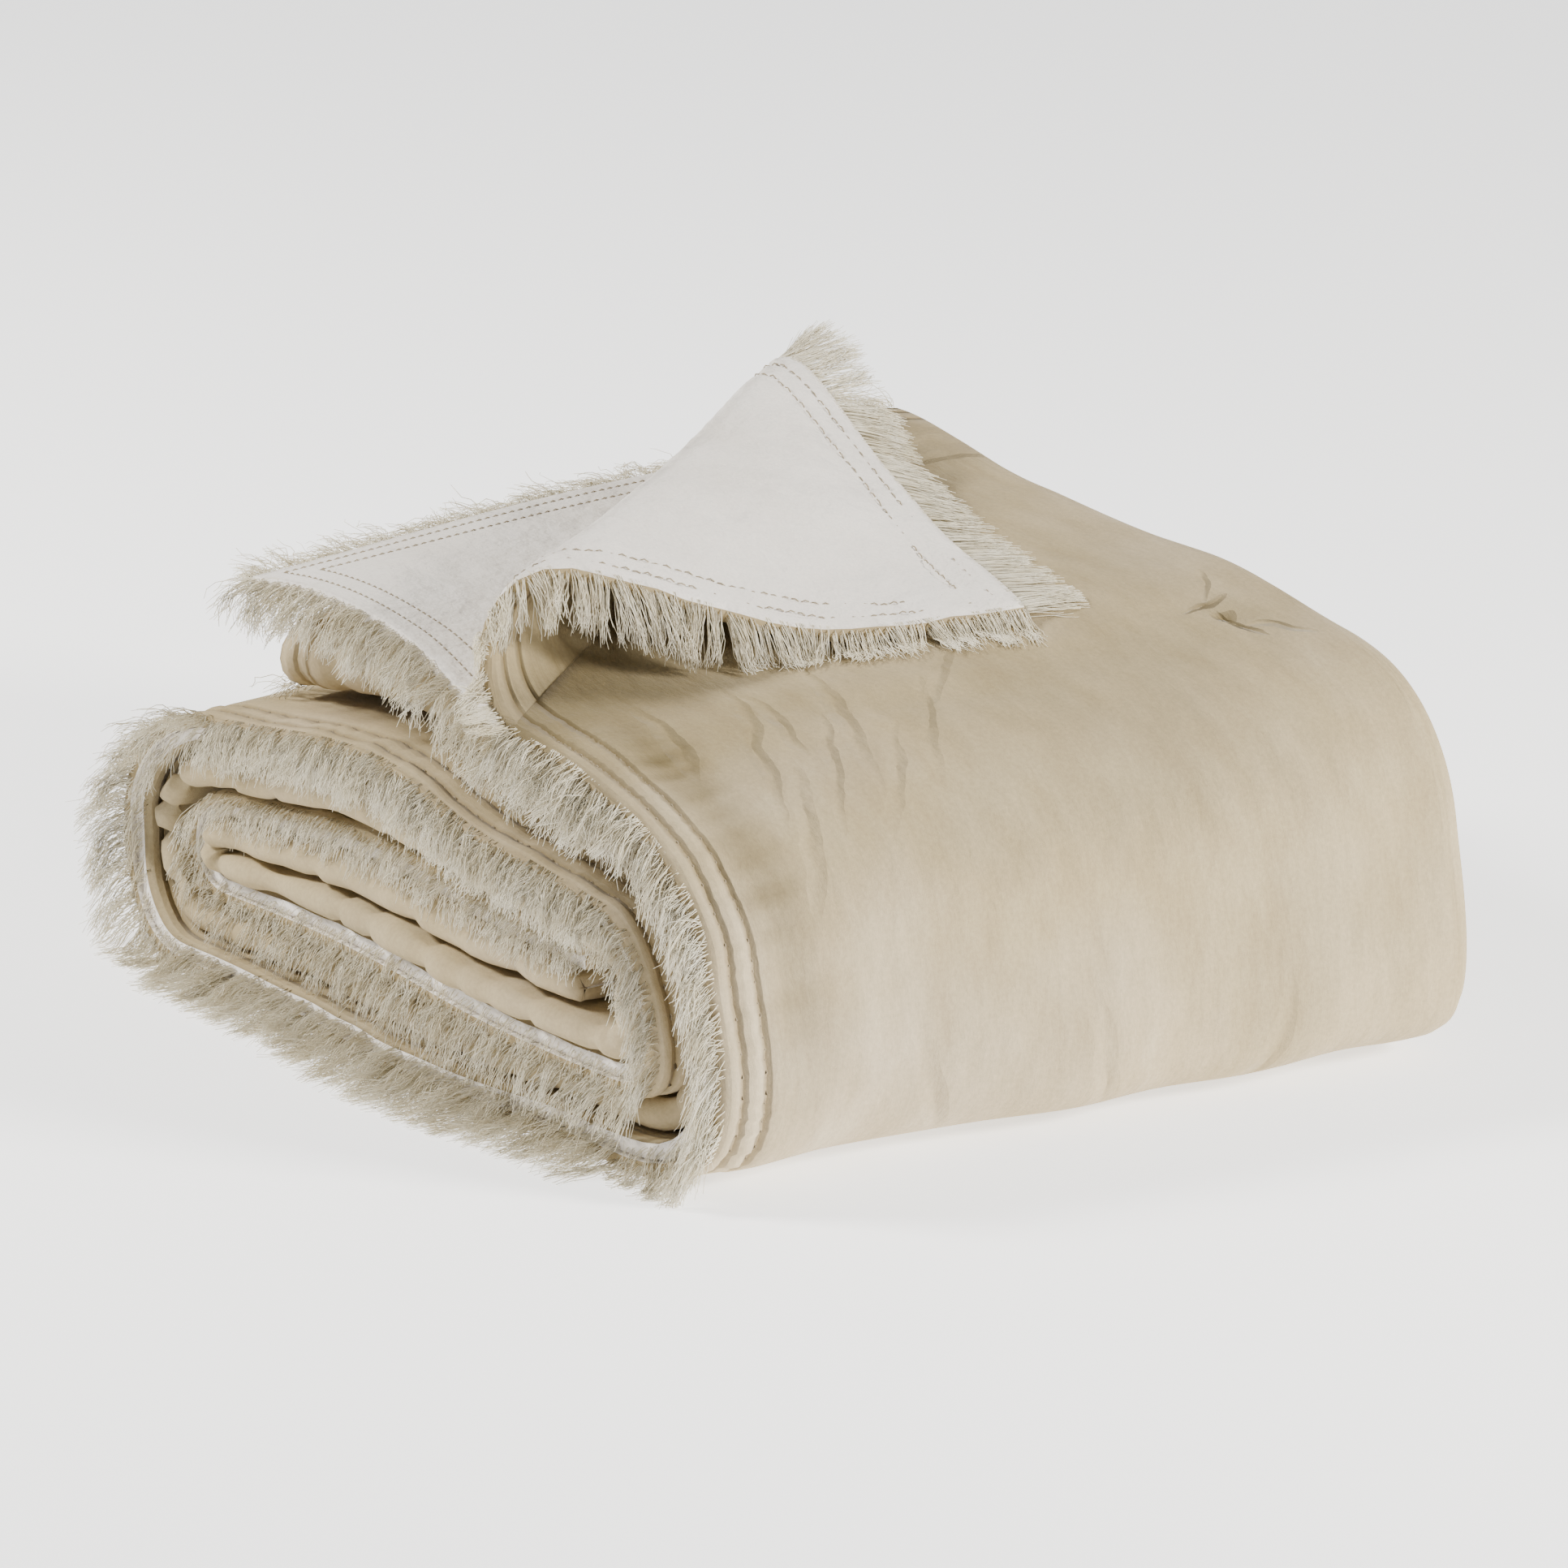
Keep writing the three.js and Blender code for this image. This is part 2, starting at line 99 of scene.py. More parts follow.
FAR_SHARE = 0.8

# How the bundle sags: rise at the left, then the drops towards the middle and towards the right
SAG_NEAR = (0.03, 0.11, 0.07)
SAG_FAR = (0.115, 0.085, 0.075)
LEFT_SLUMP = 0.18
LEAN_OUT, LEAN_TILT, LEAN_FAR, LEAN_HEIGHT = 36.0, 74.0, 23.0, 130.0

# The turned corner: where its fold line leaves the near hem, its direction, its tip and its roll
FOLD_X, FOLD_Y = 62.0, -HALF_LENGTH
FOLD_DX, FOLD_DY = -0.576, 0.8174
TIP_ALONG, TIP_ACROSS = 225.0, 273.0
ROLL_START, ROLL_END, ROLL_SETTLED = 33.0, 23.0, 190.0
FULLNESS = 0.78
DESCENT = 140.0
RESTING = HALF + 0.7
FOLD_LENGTH = (FREE_END - FOLD_X) / FOLD_DX
FOLD_AT = FOLD_X - FREE_END
CORNER_HEM = math.hypot(TIP_ACROSS, TIP_ALONG)


def smooth(low, high, value):
    t = np.clip((np.asarray(value, float) - low) / (high - low), 0, 1)
    return t * t * (3 - 2 * t)


def mix(a, b, t):
    return a + (b - a) * t


def bell(value, middle, width):
    return np.exp(-(((value - middle) / width) ** 2))


# The middle line of the folded cloth, from its free end on top to the core
def run(name, start, end, z):
    way = math.copysign(1, end - start)
    return {"name": name, "length": abs(end - start), "x": start, "z": z, "dir": way}


def turn(name, x, top, bottom, side):
    radius = abs(top - bottom) / 2
    return {
        "name": name, "length": math.pi * radius, "x": x, "z": (top + bottom) / 2,
        "dir": 0, "radius": radius, "side": side, "down": 1 if top > bottom else -1,
    }


PATH = [
    run("flap", FREE_END, TURN["right"], LEVEL["flap"]),
    turn("right_outer", TURN["right"], LEVEL["flap"], LEVEL["bottom"], 1),
    run("bottom", TURN["right"], TURN["left"], LEVEL["bottom"]),
    turn("left_outer", TURN["left"], LEVEL["bottom"], LEVEL["upper"], -1),
    run("upper", TURN["left"], TURN["inner_right"], LEVEL["upper"]),
    turn("right_inner", TURN["inner_right"], LEVEL["upper_end"], LEVEL["lower"], 1),
    run("lower", TURN["inner_right"], TURN["inner_left"], LEVEL["lower"]),
    turn("left_inner", TURN["inner_left"], LEVEL["lower"], LEVEL["core"], -1),
    run("core", TURN["inner_left"], CORE_END, LEVEL["core"]),
]
START, LENGTH = {}, {}
PATH_LENGTH = 0.0
for leg in PATH:
    START[leg["name"]] = PATH_LENGTH
    LENGTH[leg["name"]] = leg["length"]
    PATH_LENGTH += leg["length"]


def path_at(s):
    """Place and outward direction of the middle line at s, for an array of s."""
    s = np.asarray(s, float)
    x, z, nx, nz = (np.zeros_like(s) for _ in range(4))
    for number, leg in enumerate(PATH):
        start, length = START[leg["name"]], leg["length"]
        low = -math.inf if number == 0 else start
        high = math.inf if number == len(PATH) - 1 else start + length
        here = (s >= low) & (s < high)
        along = s[here] - start
        if leg["dir"]:
            height = leg["z"]
            if leg["name"] == "flap":
                height = height + FLAP_LIFT * (1 - smooth(0, FLAP_SETTLED, along / length))
            if leg["name"] == "upper":
                height = mix(LEVEL["upper"], LEVEL["upper_end"], smooth(0.1, 1, along / length))
            x[here] = leg["x"] + leg["dir"] * along
            z[here] = height
            nz[here] = leg["dir"]
        else:
            angle = along / leg["radius"]
            nx[here] = leg["side"] * np.sin(angle)
            nz[here] = leg["down"] * np.cos(angle)
            x[here] = leg["x"] + leg["radius"] * nx[here]
            z[here] = leg["z"] + leg["radius"] * nz[here]
    return x, z, nx, nz


def level_at(s):
    """Height of the middle line at one place s."""
    return float(path_at(np.array([s]))[1][0])


def between(table, column, s):
    """A column of a table of places along the roll, eased from row to row."""
    s = np.asarray(s, float)
    at = np.array([START[row[0]] + LENGTH[row[0]] * row[1] for row in table])
    values = np.array([row[2][column] for row in table])
    low = np.clip(np.searchsorted(at, s, side="right") - 1, 0, len(at) - 1)
    high = np.minimum(low + 1, len(at) - 1)
    t = np.clip((s - at[low]) / np.maximum(at[high] - at[low], 1e-6), 0, 1)
    return mix(values[low], values[high], t * t * (3 - 2 * t))


def layer_offset(layer, s):
    return between(LAYERS, layer, s)


def near_edge(layer, s):
    """Where the hem of a layer, or the fold of the inner two, lies along Y."""
    s = np.asarray(s, float)
    hem = between(NEAR_ENDS, 0, s) + HEM_WAVE * np.sin(s / HEM_WAVE_LENGTH)
    if layer == 0:
        fold_line = FOLD_Y + (FREE_END + s - FOLD_X) / FOLD_DX * FOLD_DY
        past_fold = mix(FOLD_Y, hem, smooth(FOLD_AT, FOLD_AT + HEM_SETTLED, s))
        return np.where(s < FOLD_AT, fold_line, past_fold)
    if layer == 1:
        return hem + INNER_HEM
    return between(NEAR_ENDS, 1, s) + HEM_WAVE * np.sin((s + FOLD_WAVE_START) / HEM_WAVE_LENGTH)


def far_edge(s):
    """Where the far folds lie along Y: they follow a share of the near hem's shift."""
    return FAR_END + FAR_SHARE * (between(NEAR_ENDS, 0, s) + HALF_LENGTH)


def sag(x, y, z):
    """How the whole bundle sags out of its regular form, with its underside left flat."""
    right, left = smooth(110, 250, x), smooth(-20, 260, -x)
    away = y / HALF_LENGTH
    leaning = np.sin(np.pi / 2 * np.clip(z / LEAN_HEIGHT, -1, 1))
    near = SAG_NEAR[0] - SAG_NEAR[1] * smooth(-60, 90, x) - SAG_NEAR[2] * smooth(90, 200, x)
    far = SAG_FAR[0] - SAG_FAR[1] * smooth(-215, -75, x) - SAG_FAR[2] * smooth(60, 200, x)
    waves = 1.5 * np.sin(x / 55 + y / 90) + 1.2 * np.sin(y / 60 - x / 120)
    rise = mix(near, far, (1 + away) / 2) * z / HEIGHT - LEFT_SLUMP * left + waves / HEIGHT
    sx = x + MIDDLE[0] + right * (LEAN_OUT - LEAN_TILT * leaning + LEAN_FAR * (1 + away))
    sy = y + MIDDLE[1] + 4 * np.sin(x / 70) * away
    return np.stack([sx, sy, z * (1 + rise)], -1)


def place(s, n, y):
    """A point of the folded cloth: s along the roll, n out of the fold, y along its axis."""
    x, z, nx, nz = path_at(s)
    return sag(x + nx * n, y, z + nz * n)


def corner_point(a, b, h, down=0.0):
    """A point of the turned corner: a along its fold line, b across it, h above the middle of the cloth.

    With down it droops, but not through the velvet below it.
    """
    radius = mix(ROLL_START, ROLL_END, smooth(0, ROLL_SETTLED, a))
    half = np.pi * radius
    angle = np.clip(b / radius, 0, np.pi)
    past = np.maximum(b - half, 0)
    across = -radius * np.sin(angle) + past - np.minimum(b, 0) - np.sin(angle) * h
    up = radius * (1 - np.cos(angle))
    up = np.where(b > half, PITCH + (2 * radius - PITCH) * (1 - smooth(0, DESCENT, past)), up)
    up = up - np.cos(angle) * h
    up = np.maximum(up - down, np.minimum(up, RESTING))
    x = FOLD_X + FOLD_DX * a + FOLD_DY * across
    y = FOLD_Y + FOLD_DY * a - FOLD_DX * across
    just_inside = LENGTH["flap"] - 0.01
    s = np.clip(x - FREE_END, 0, just_inside)
    return sag(x, y, path_at(s)[1] + SNUG[0] + up)


def corner_reach(a):
    """How far the turned corner reaches from its fold line: straight up to the tip, then full and round."""
    a = np.asarray(a, float)
    end = np.clip((FOLD_LENGTH - a) / (FOLD_LENGTH - TIP_ALONG), 0, 1) ** FULLNESS
    return TIP_ACROSS * np.where(a < TIP_ALONG, a / TIP_ALONG, end)


# Fine unevenness of the cloth, in millimetres, at s along the roll and w in from the near hem
TUFT_S, TUFT_W = 337.0, 404.0
STITCH_ROWS = (12.0, 26.0)
PINCH_PITCH = 46.0


def hem_hollow(s, w):
    """The dented hollow behind the hem, where the cloth goes over the rounded side."""
    dents = 0.75 + 0.25 * np.sin(s / 9 + np.sin(s / 23))
    beside_hem = bell(w, 44 + 4 * np.sin(s / 40), 14) * smooth(280, 335, s) * (1 - smooth(500, 590, s))
    return 6.0 * dents * beside_hem


def tuft_pull(s, w):
    """The small deep pull of the tuft and the wider dip around it."""
    far = np.hypot(s - TUFT_S, w - TUFT_W)
    return -3.2 * bell(far, 0, 8) - 1.6 * bell(far, 0, 36)


def tuft_creases(s, w):
    """The two creases that run out from the tuft."""
    ts, tw = s - TUFT_S, w - TUFT_W
    crease = -3.4 * bell(tw - 0.22 * ts, 0, 4.5) * bell(ts, 6, 26)
    return crease - 2.4 * bell(ts + 0.25 * tw + 18, 0, 4.5) * bell(tw, -12, 22)


def velvet_relief(s, w):
    """How far the outer velvet stands out, with its waves, its folds, its dents and the pull of the tuft."""
    shows = smooth(0, 60, w) * (1 - smooth(600, 700, s))
    waves = 1.2 * np.sin(s / 47 + w / 37 + 1.7 * np.sin(w / 63)) + 0.8 * np.sin(s / 33 - w / 52)
    # short soft folds that run down from the cave under the turned corner
    steep = np.sin(w / 6.1 + 1.2 * np.sin(s / 41) + 0.9 * np.sin(w / 23))
    steep = 1.3 * steep * bell(s, 400, 50) * bell(w, 125, 75)
    slanted = np.sin((s - 0.5 * w) / 8.5 + np.sin(w / 31))
    slanted = 1.3 * slanted * bell(s, 345, 40) * bell(w, 200, 90)
    # the lower edge of the rounded side hangs in shallow waves
    hanging = 2.2 * np.sin(w / 27 + 0.8 * np.sin(w / 40)) * bell(s, 585, 40) * smooth(40, 90, w)
    folds = shows * waves + steep + slanted + hanging
    return folds - hem_hollow(s, w) + tuft_pull(s, w) + tuft_creases(s, w)


def painted_shade_and_tone(s, w):
    """Painted light and shade on the outer velvet: darker on the top, in the hollows and under the corner,
    lighter lower down.
    """
    # painted shade darkens the top and painted light lightens the lower rounded side
    shade = 0.96 - 0.13 * (1 - smooth(340, 470, s)) + 0.12 * smooth(500, 620, s)
    # a little tone that varies at random
    drift = np.sin(w / 58 + 1.3 * np.sin(s / 70))
    drift = drift + 0.7 * np.sin(w / 29 - s / 90) + 0.5 * np.sin(w / 17 + s / 37)
    shade = shade + 0.025 * drift
    # painted shade in streaks, in the hollow beside the hem
    streak = 0.8 + 0.2 * np.sin(s / 5.3 + 2 * np.sin(s / 19) + 0.3 * w / 10)
    streak = streak + 0.12 * np.sin(s / 2.9 + w / 14)
    hollow = smooth(280, 335, s) * (1 - smooth(500, 600, s))
    shade = shade - 0.36 * streak * bell(w, 45, 17) * hollow
    # painted shade under the turned corner
    shade = shade - 0.40 * (1 - smooth(268, 318, s)) * (1 - smooth(60, 170, w))
    shade = shade - 0.10 * bell(s, 325, 30) * bell(w, 90, 70)
    # painted shade around the tuft, and lighter along the hem
    shade = shade - 0.10 * bell(np.hypot(s - TUFT_S, w - TUFT_W), 0, 16)
    return shade + 0.07 * bell(w, 20, 9) * smooth(300, 360, s)


def hem_relief(s, w):
    """The stitched hem: two fine rows with small puckers around them."""
    rows = sum(bell(w, row, 1.9) for row in STITCH_ROWS)
    puckers = np.sin(s / 1.9 + 1.3 * np.sin(s / 13)) * bell(w, sum(STITCH_ROWS) / 2, 10)
    swell = 0.9 * np.sin(s / 11 + 1.5 * np.sin(s / 37)) * (1 - smooth(10, 40, w))
    edge = 1 - smooth(0, 8, w)
    return -2.1 * rows + 0.9 * puckers + swell - 2.0 * edge


def pinches(s):
    """How deep the near folds of the inner layers are pinched at s."""
    turns = np.mod(s / PINCH_PITCH + 0.35 * np.sin(s / 60) + 0.25 * np.sin(s / 23), 1) - 0.5
    deeper = 1 + 0.9 * bell(s, START["left_outer"] + 100, 90)
    return deeper * (4.6 * bell(turns * PINCH_PITCH, 0, 6.0) + 0.9 * np.sin(s / 17 + 2 * np.sin(s / 31)))


# Columns of the cloth's mesh: the corner or the hem, the top layer, each fold and the hidden layers
CORNER_COLUMNS, FLAT_COLUMNS = 26, 34
FOLD_COLUMNS, INNER_FOLD_COLUMNS = 8, 5
HIDDEN_COLUMNS, SECOND_COLUMNS = 12, 28
HEM_WIDTH = 70.0
END_HEM_WIDTH = 80.0
# A distance from the hem that is past every pattern of the hem, for the cloth deep inside
DEEP = 460.0
FAR_FOLD_W = 400.0


def ring_steps():
    """Places along the roll: close together where the cloth shows, wider apart inside."""
    under = START["bottom"] - 40
    stretches = [
        (0, FOLD_AT, 5.0),
        (FOLD_AT, under, 4.6),
        (under, START["left_outer"], 11.0),
        (START["left_outer"], START["upper"], 6.5),
        (START["upper"], START["right_inner"], 8.0),
        (START["right_inner"], START["lower"], 6.5),
        (START["lower"], START["left_inner"], 9.0),
        (START["left_inner"], START["core"], 5.5),
        (START["core"], PATH_LENGTH, 12.0),
    ]
    stops = [np.linspace(a, b, int((b - a) / step) + 2)[:-1] for a, b, step in stretches]
    return np.concatenate(stops + [[PATH_LENGTH]])


def spaced(start, end, count, power=1.9):
    """Places from start to end, closer together at the start where the power is over 1."""
    return mix(start, end, (np.arange(count) / (count - 1)) ** power)


def strip_stations(s):
    """Points across the folded strip at s, from the top layer's hem through all layers to the second hem.

    They come as arrays of the offset, the place along Y, the outward direction in both, the relief, the
    distance from the hem and the painted shade.
    """
    n1, n2, n3, n4 = (float(layer_offset(k, s)) for k in range(4))
    hem, second_hem = float(near_edge(0, s)), float(near_edge(1, s))
    far_fold = float(far_edge(s)) - HALF - (n1 - n4) / 2
    near_fold = float(near_edge(2, s)) + HALF + (n3 - n4) / 2
    pinch = float(pinches(s))
    on_show = s < START["left_outer"]
    parts = []

    def level(offset, ys, side, relief, w, shade=1.0):
        zero = np.zeros(len(ys))
        parts.append((zero + offset, ys, zero + side, zero, zero + relief, zero + w, zero + shade))

    def fold(high, low, centre, count, first_side, towards, velvet_out, depth=0.0, shade=1.0):
        angle = np.pi * np.arange(1, count) / count
        cn, cy = first_side * np.cos(angle), towards * np.sin(angle)
        middle, radius = (high + low) / 2, (high - low) / 2
        ys = centre + radius * cy + depth * np.sin(angle) * 0.9
        zero = np.zeros(count - 1)
        relief, w = zero - depth * 0.45, zero + DEEP
        parts.append((middle + radius * cn, ys, velvet_out * cn, velvet_out * cy, relief, w, zero + shade))

    if s >= FOLD_AT:
        hem_width = HEM_WIDTH * float(smooth(FOLD_AT, FOLD_AT + 90, s)) + 3
        hem_ys = hem + np.linspace(0, hem_width, CORNER_COLUMNS + 1)[:-1]
        ys = np.concatenate([hem_ys, spaced(hem + hem_width, far_fold, FLAT_COLUMNS, 1.0)])
        w = ys - hem
        relief = velvet_relief(s, w) * smooth(0, 25, far_fold - ys) + hem_relief(s, w)
    else:
        ys = spaced(hem, far_fold, FLAT_COLUMNS, 1.0)
        w = ys + HALF_LENGTH
        relief = velvet_relief(s, w) * smooth(0, 25, far_fold - ys)
    # the outer velvet and its far fold get the painted shade
    level(n1, ys, 1, relief, w, painted_shade_and_tone(s, w) if on_show else 1.0)
    fold(n1, n4, far_fold, FOLD_COLUMNS, 1, 1, 1, shade=painted_shade_and_tone(s, FAR_FOLD_W) if on_show else 1.0)
    ys = spaced(near_fold, far_fold, HIDDEN_COLUMNS)
    tucked = -0.8 * pinch * np.exp(-(ys - near_fold) / 22)
    level(n4, ys[::-1], -1, tucked[::-1], DEEP)
    fold(n3, n4, near_fold, FOLD_COLUMNS, -1, -1, 1, pinch)
    level(n3, ys, 1, tucked, DEEP)
    fold(n2, n3, far_fold, INNER_FOLD_COLUMNS, -1, 1, -1)
    ys = spaced(second_hem, far_fold, SECOND_COLUMNS, 1.35)[::-1]
    level(n2, ys, -1, 0.5 * hem_relief(s + 50, ys - second_hem), ys - second_hem)
    return [np.concatenate(values) for values in zip(*parts)]


def corner_hem_distance(a, b):
    """Distance from the hems of the turned corner."""
    near = np.abs(TIP_ACROSS * a - TIP_ALONG * b) / CORNER_HEM
    slope = 0.5 * (corner_reach(a - 1) - corner_reach(a + 1))
    to_end = np.abs(corner_reach(np.maximum(a, TIP_ALONG)) - b) / np.hypot(1, slope)
    return np.minimum(near, np.where(a > TIP_ALONG - 40, to_end, math.inf))


def corner_strip(s):
    """The turned part of the top layer at s, from its hem to the fold line.

    It gives the points of both sides, the distance from the hem, the way along it and the painted shade.
    """
    a = np.full(CORNER_COLUMNS, (FREE_END + s - FOLD_X) / FOLD_DX)
    b = corner_reach(a) * (1 - (np.arange(CORNER_COLUMNS) / CORNER_COLUMNS)) ** 1.25
    w = corner_hem_distance(a, b)
    puff = np.sin(a / 37 + b / 23) * smooth(20, 60, w) + 0.8 * hem_relief(a + b, w)
    puff = puff + 0.9 * np.sin((a + 0.6 * b) / 9) * bell(a, TIP_ALONG, 60) * bell(b, 190, 50)
    # painted shade on the velvet near the fold line, where the corner rolls over
    shade = 1 - 0.35 * (1 - smooth(0, 60, b)) * (1 - smooth(60, 200, a))
    return corner_point(a, b, -HALF), corner_point(a, b, HALF + puff), w, a - b, shade


def cloth_rings():
    """Closed rings of points round the folded strip, their places in the flat cloth and their shades."""
    rings, flats, shades = [], [], []
    for s in ring_steps():
        n, y, vn, vy, puff, w, shade = strip_stations(s)
        ss = np.full(len(n), s)
        velvet_side = place(ss, n + vn * (HALF + puff), y + vy * HALF)
        lining_side = place(ss, n - vn * HALF, y - vy * HALF)
        beside_end = (s < END_HEM_WIDTH) & (w > s)
        w = np.where(beside_end, s, w)
        u = np.where(beside_end, y, s)
        if s < FOLD_AT:
            corner_velvet, corner_lining, corner_w, corner_u, corner_shade = corner_strip(s)
            velvet_side = np.concatenate([corner_velvet, velvet_side])
            lining_side = np.concatenate([corner_lining, lining_side])
            w = np.concatenate([corner_w, w])
            u = np.concatenate([corner_u, u])
            shade = np.concatenate([corner_shade, shade])
        rings.append(np.concatenate([velvet_side, lining_side[::-1]]))
        flat = np.stack([u, w], -1)
        flats.append(np.concatenate([flat, flat[::-1]]))
        shades.append(np.concatenate([shade, np.ones(len(shade))]))
    rings = np.array(rings)
    rings[..., 2] = np.maximum(rings[..., 2], 0.0)
    return rings, np.array(flats), np.array(shades)


def mesh_object(name, points, faces, material_slots, face_materials=None):
    mesh = bpy.data.meshes.new(name)
    mesh.from_pydata((points * MM).tolist(), [], faces)
    for material in material_slots:
        mesh.materials.append(material)
    if face_materials is not None:
        mesh.polygons.foreach_set("material_index", face_materials)
    mesh.polygons.foreach_set("use_smooth", [True] * len(mesh.polygons))
    mesh.update()
    obj = bpy.data.objects.new(name, mesh)
    bpy.context.collection.objects.link(obj)
    return obj


def make_cloth(velvet, lining):
    """One closed mesh of the whole cloth, with its flat coordinates and its painted shade in the colour
    attribute named pile.
    """
    rings, flats, shades = cloth_rings()
    steps, count = rings.shape[:2]
    half = count // 2
    i = np.arange(count)
    j = (i + 1) % count
    faces, kinds = [], []
    side = np.where((i < half - 1) | (i == count - 1), 0, 1)
    for r in range(steps - 1):
        low, high = r * count, (r + 1) * count
        faces.extend(np.stack([low + i, high + i, high + j, low + j], 1).tolist())
        kinds.extend(side.tolist())
    k = np.arange(half - 1)
    cap = np.stack([k, k + 1, count - 2 - k, count - 1 - k], 1)
    faces.extend(cap.tolist())
    faces.extend((cap[:, ::-1] + (steps - 1) * count).tolist())
    kinds.extend([0] * (2 * len(cap)))
    obj = mesh_object("quilt_cloth", rings.reshape(-1, 3), faces, (velvet, lining), kinds)
    corners = np.zeros(len(obj.data.loops), dtype=int)
    obj.data.loops.foreach_get("vertex_index", corners)
    layer = obj.data.uv_layers.new(name="hem")
    layer.data.foreach_set("uv", (flats.reshape(-1, 2) * MM)[corners].ravel())
    # painted shade, a little warmer where darker, kept in the colour attribute named pile
    painted_shade_colors = obj.data.color_attributes.new(name="pile", type="FLOAT_COLOR", domain="POINT")
    shade = shades.reshape(-1, 1)
    colors = np.concatenate([shade, shade ** 1.05, shade ** 1.3, np.ones_like(shade)], 1)
    painted_shade_colors.data.foreach_set("color", colors.ravel())
    return obj


# The thread fringe: points of a thread, corners of its section and the hem that one lock takes up
POINTS = 7
SECTION = (0.0, 2.0944, 4.1888)
LOCK = 6.0
ROOT_IN = 2.5
ROOT_SPREAD = 0.3 * THICK
ABOVE_FLOOR = 0.5

# Rows of threads of the near hems: piece, legs, layer, threads a millimetre, angles below level at the root
# and at the tip, share of the fringe's length, and how far they spread from the middle of the roll
NEAR_ROWS = [
    ("threads_wrap", ("flap", "right_outer"), 0, 4.2, (0.25, 1.45), 0.85, 0.0),
    ("threads_wrap", ("left_outer",), 0, 4.4, (0.1, 0.9), 0.9, 0.55),
    ("threads_floor", ("bottom",), 0, 4.2, (0.0, 0.25), 1.08, 0.0),
    ("threads_floor", ("bottom",), 1, 2.8, (0.1, 0.7), 0.9, 0.0),
    ("threads_flap", ("flap",), 1, 4.6, (0.05, 1.2), 0.9, 0.0),
    ("threads_flap", ("right_outer", "left_outer"), 1, 1.5, (0.3, 1.5), 0.6, 0.0),
    ("threads_upper", ("upper",), 0, 4.8, (0.3, 1.5), 0.8, 0.0),
    ("threads_upper", ("right_inner",), 0, 3.6, (0.2, 1.3), 0.75, 0.0),
    ("threads_lower", ("lower",), 0, 2.8, (0.3, 1.4), 0.8, 0.0),
    ("threads_lower", ("lower",), 1, 1.2, (0.3, 1.5), 0.5, 0.0),
    ("threads_inner", ("upper",), 1, 2.5, (0.2, 1.2), 0.55, 0.0),
    ("threads_inner", ("right_inner", "left_inner"), 1, 1.4, (0.3, 1.5), 0.5, 0.0),
    ("threads_inner", ("left_inner", "core"), 0, 2.5, (0.2, 1.3), 0.62, 0.0),
    ("threads_core", ("core",), 1, 1.0, (0.3, 1.5), 0.5, 0.0),
]

# Rows of threads of the free end, outermost layer first: where they start, threads a millimetre and angles
END_ROWS = [
    (18, 3.4, (-0.15, 0.45)),
    (0, 3.6, (-0.15, 0.45)),
    (0, 1.2, (0.1, 0.9)),
    (0, 1.2, (0.1, 0.9)),
]
END_ROWS_STOP = 30
CORNER_PER_MM = 4.2


def thread_tubes(name, lines, radius, material, tip=0.55):
    """Joined three-sided threads along lines, an array of shape (threads, points, 3) in millimetres."""
    count, points = lines.shape[:2]
    tangent = np.gradient(lines, axis=1)
    tangent /= np.linalg.norm(tangent, axis=2, keepdims=True) + 1e-9
    helper = np.where(np.abs(tangent[..., 2:3]) > 0.8, [[[1.0, 0.0, 0.0]]], [[[0.0, 0.0, 1.0]]])
    u = np.cross(tangent, helper)
    u /= np.linalg.norm(u, axis=2, keepdims=True) + 1e-9
    v = np.cross(tangent, u)
    taper = np.linspace(1.0, tip, points)[None, :, None] * radius[:, None, None]
    corners = [lines + taper * (u * math.cos(t) + v * math.sin(t)) for t in SECTION]
    verts = np.stack(corners, 2).reshape(-1, 3)
    verts[:, 2] = np.maximum(verts[:, 2], 0.0)
    base = (np.arange(count) * points * 3)[:, None]
    quads = []
    for p in range(points - 1):
        for c in range(3):
            a, b = p * 3 + c, p * 3 + (c + 1) % 3
            quads.append(base + np.array([[a, b, b + 3, a + 3]]))
    last = (points - 1) * 3
    caps = [base + np.array([[2, 1, 0]]), base + np.array([[last, last + 1, last + 2]])]
    faces = np.concatenate(quads).tolist() + np.concatenate(caps).tolist()
    return mesh_object(name, verts, faces, (material,))


def locks(t):
    """For each thread at t: the way to the middle of its lock, the lock's random values and its own."""
    warped = t / LOCK + 0.3 * np.sin(t / (0.9 * LOCK)) + 0.2 * np.sin(t / (2.3 * LOCK))
    index = np.floor(warped).astype(int)
    index -= index.min()
    total = np.bincount(index, t, index.max() + 1)
    middle = total / np.maximum(np.bincount(index, minlength=index.max() + 1), 1)
    table = rng.normal(size=(index.max() + 1, 5))
    return middle[index] - t, table[index], rng.normal(size=(len(t), 5))


def unit(vectors):
    return vectors / np.linalg.norm(vectors, axis=1, keepdims=True)


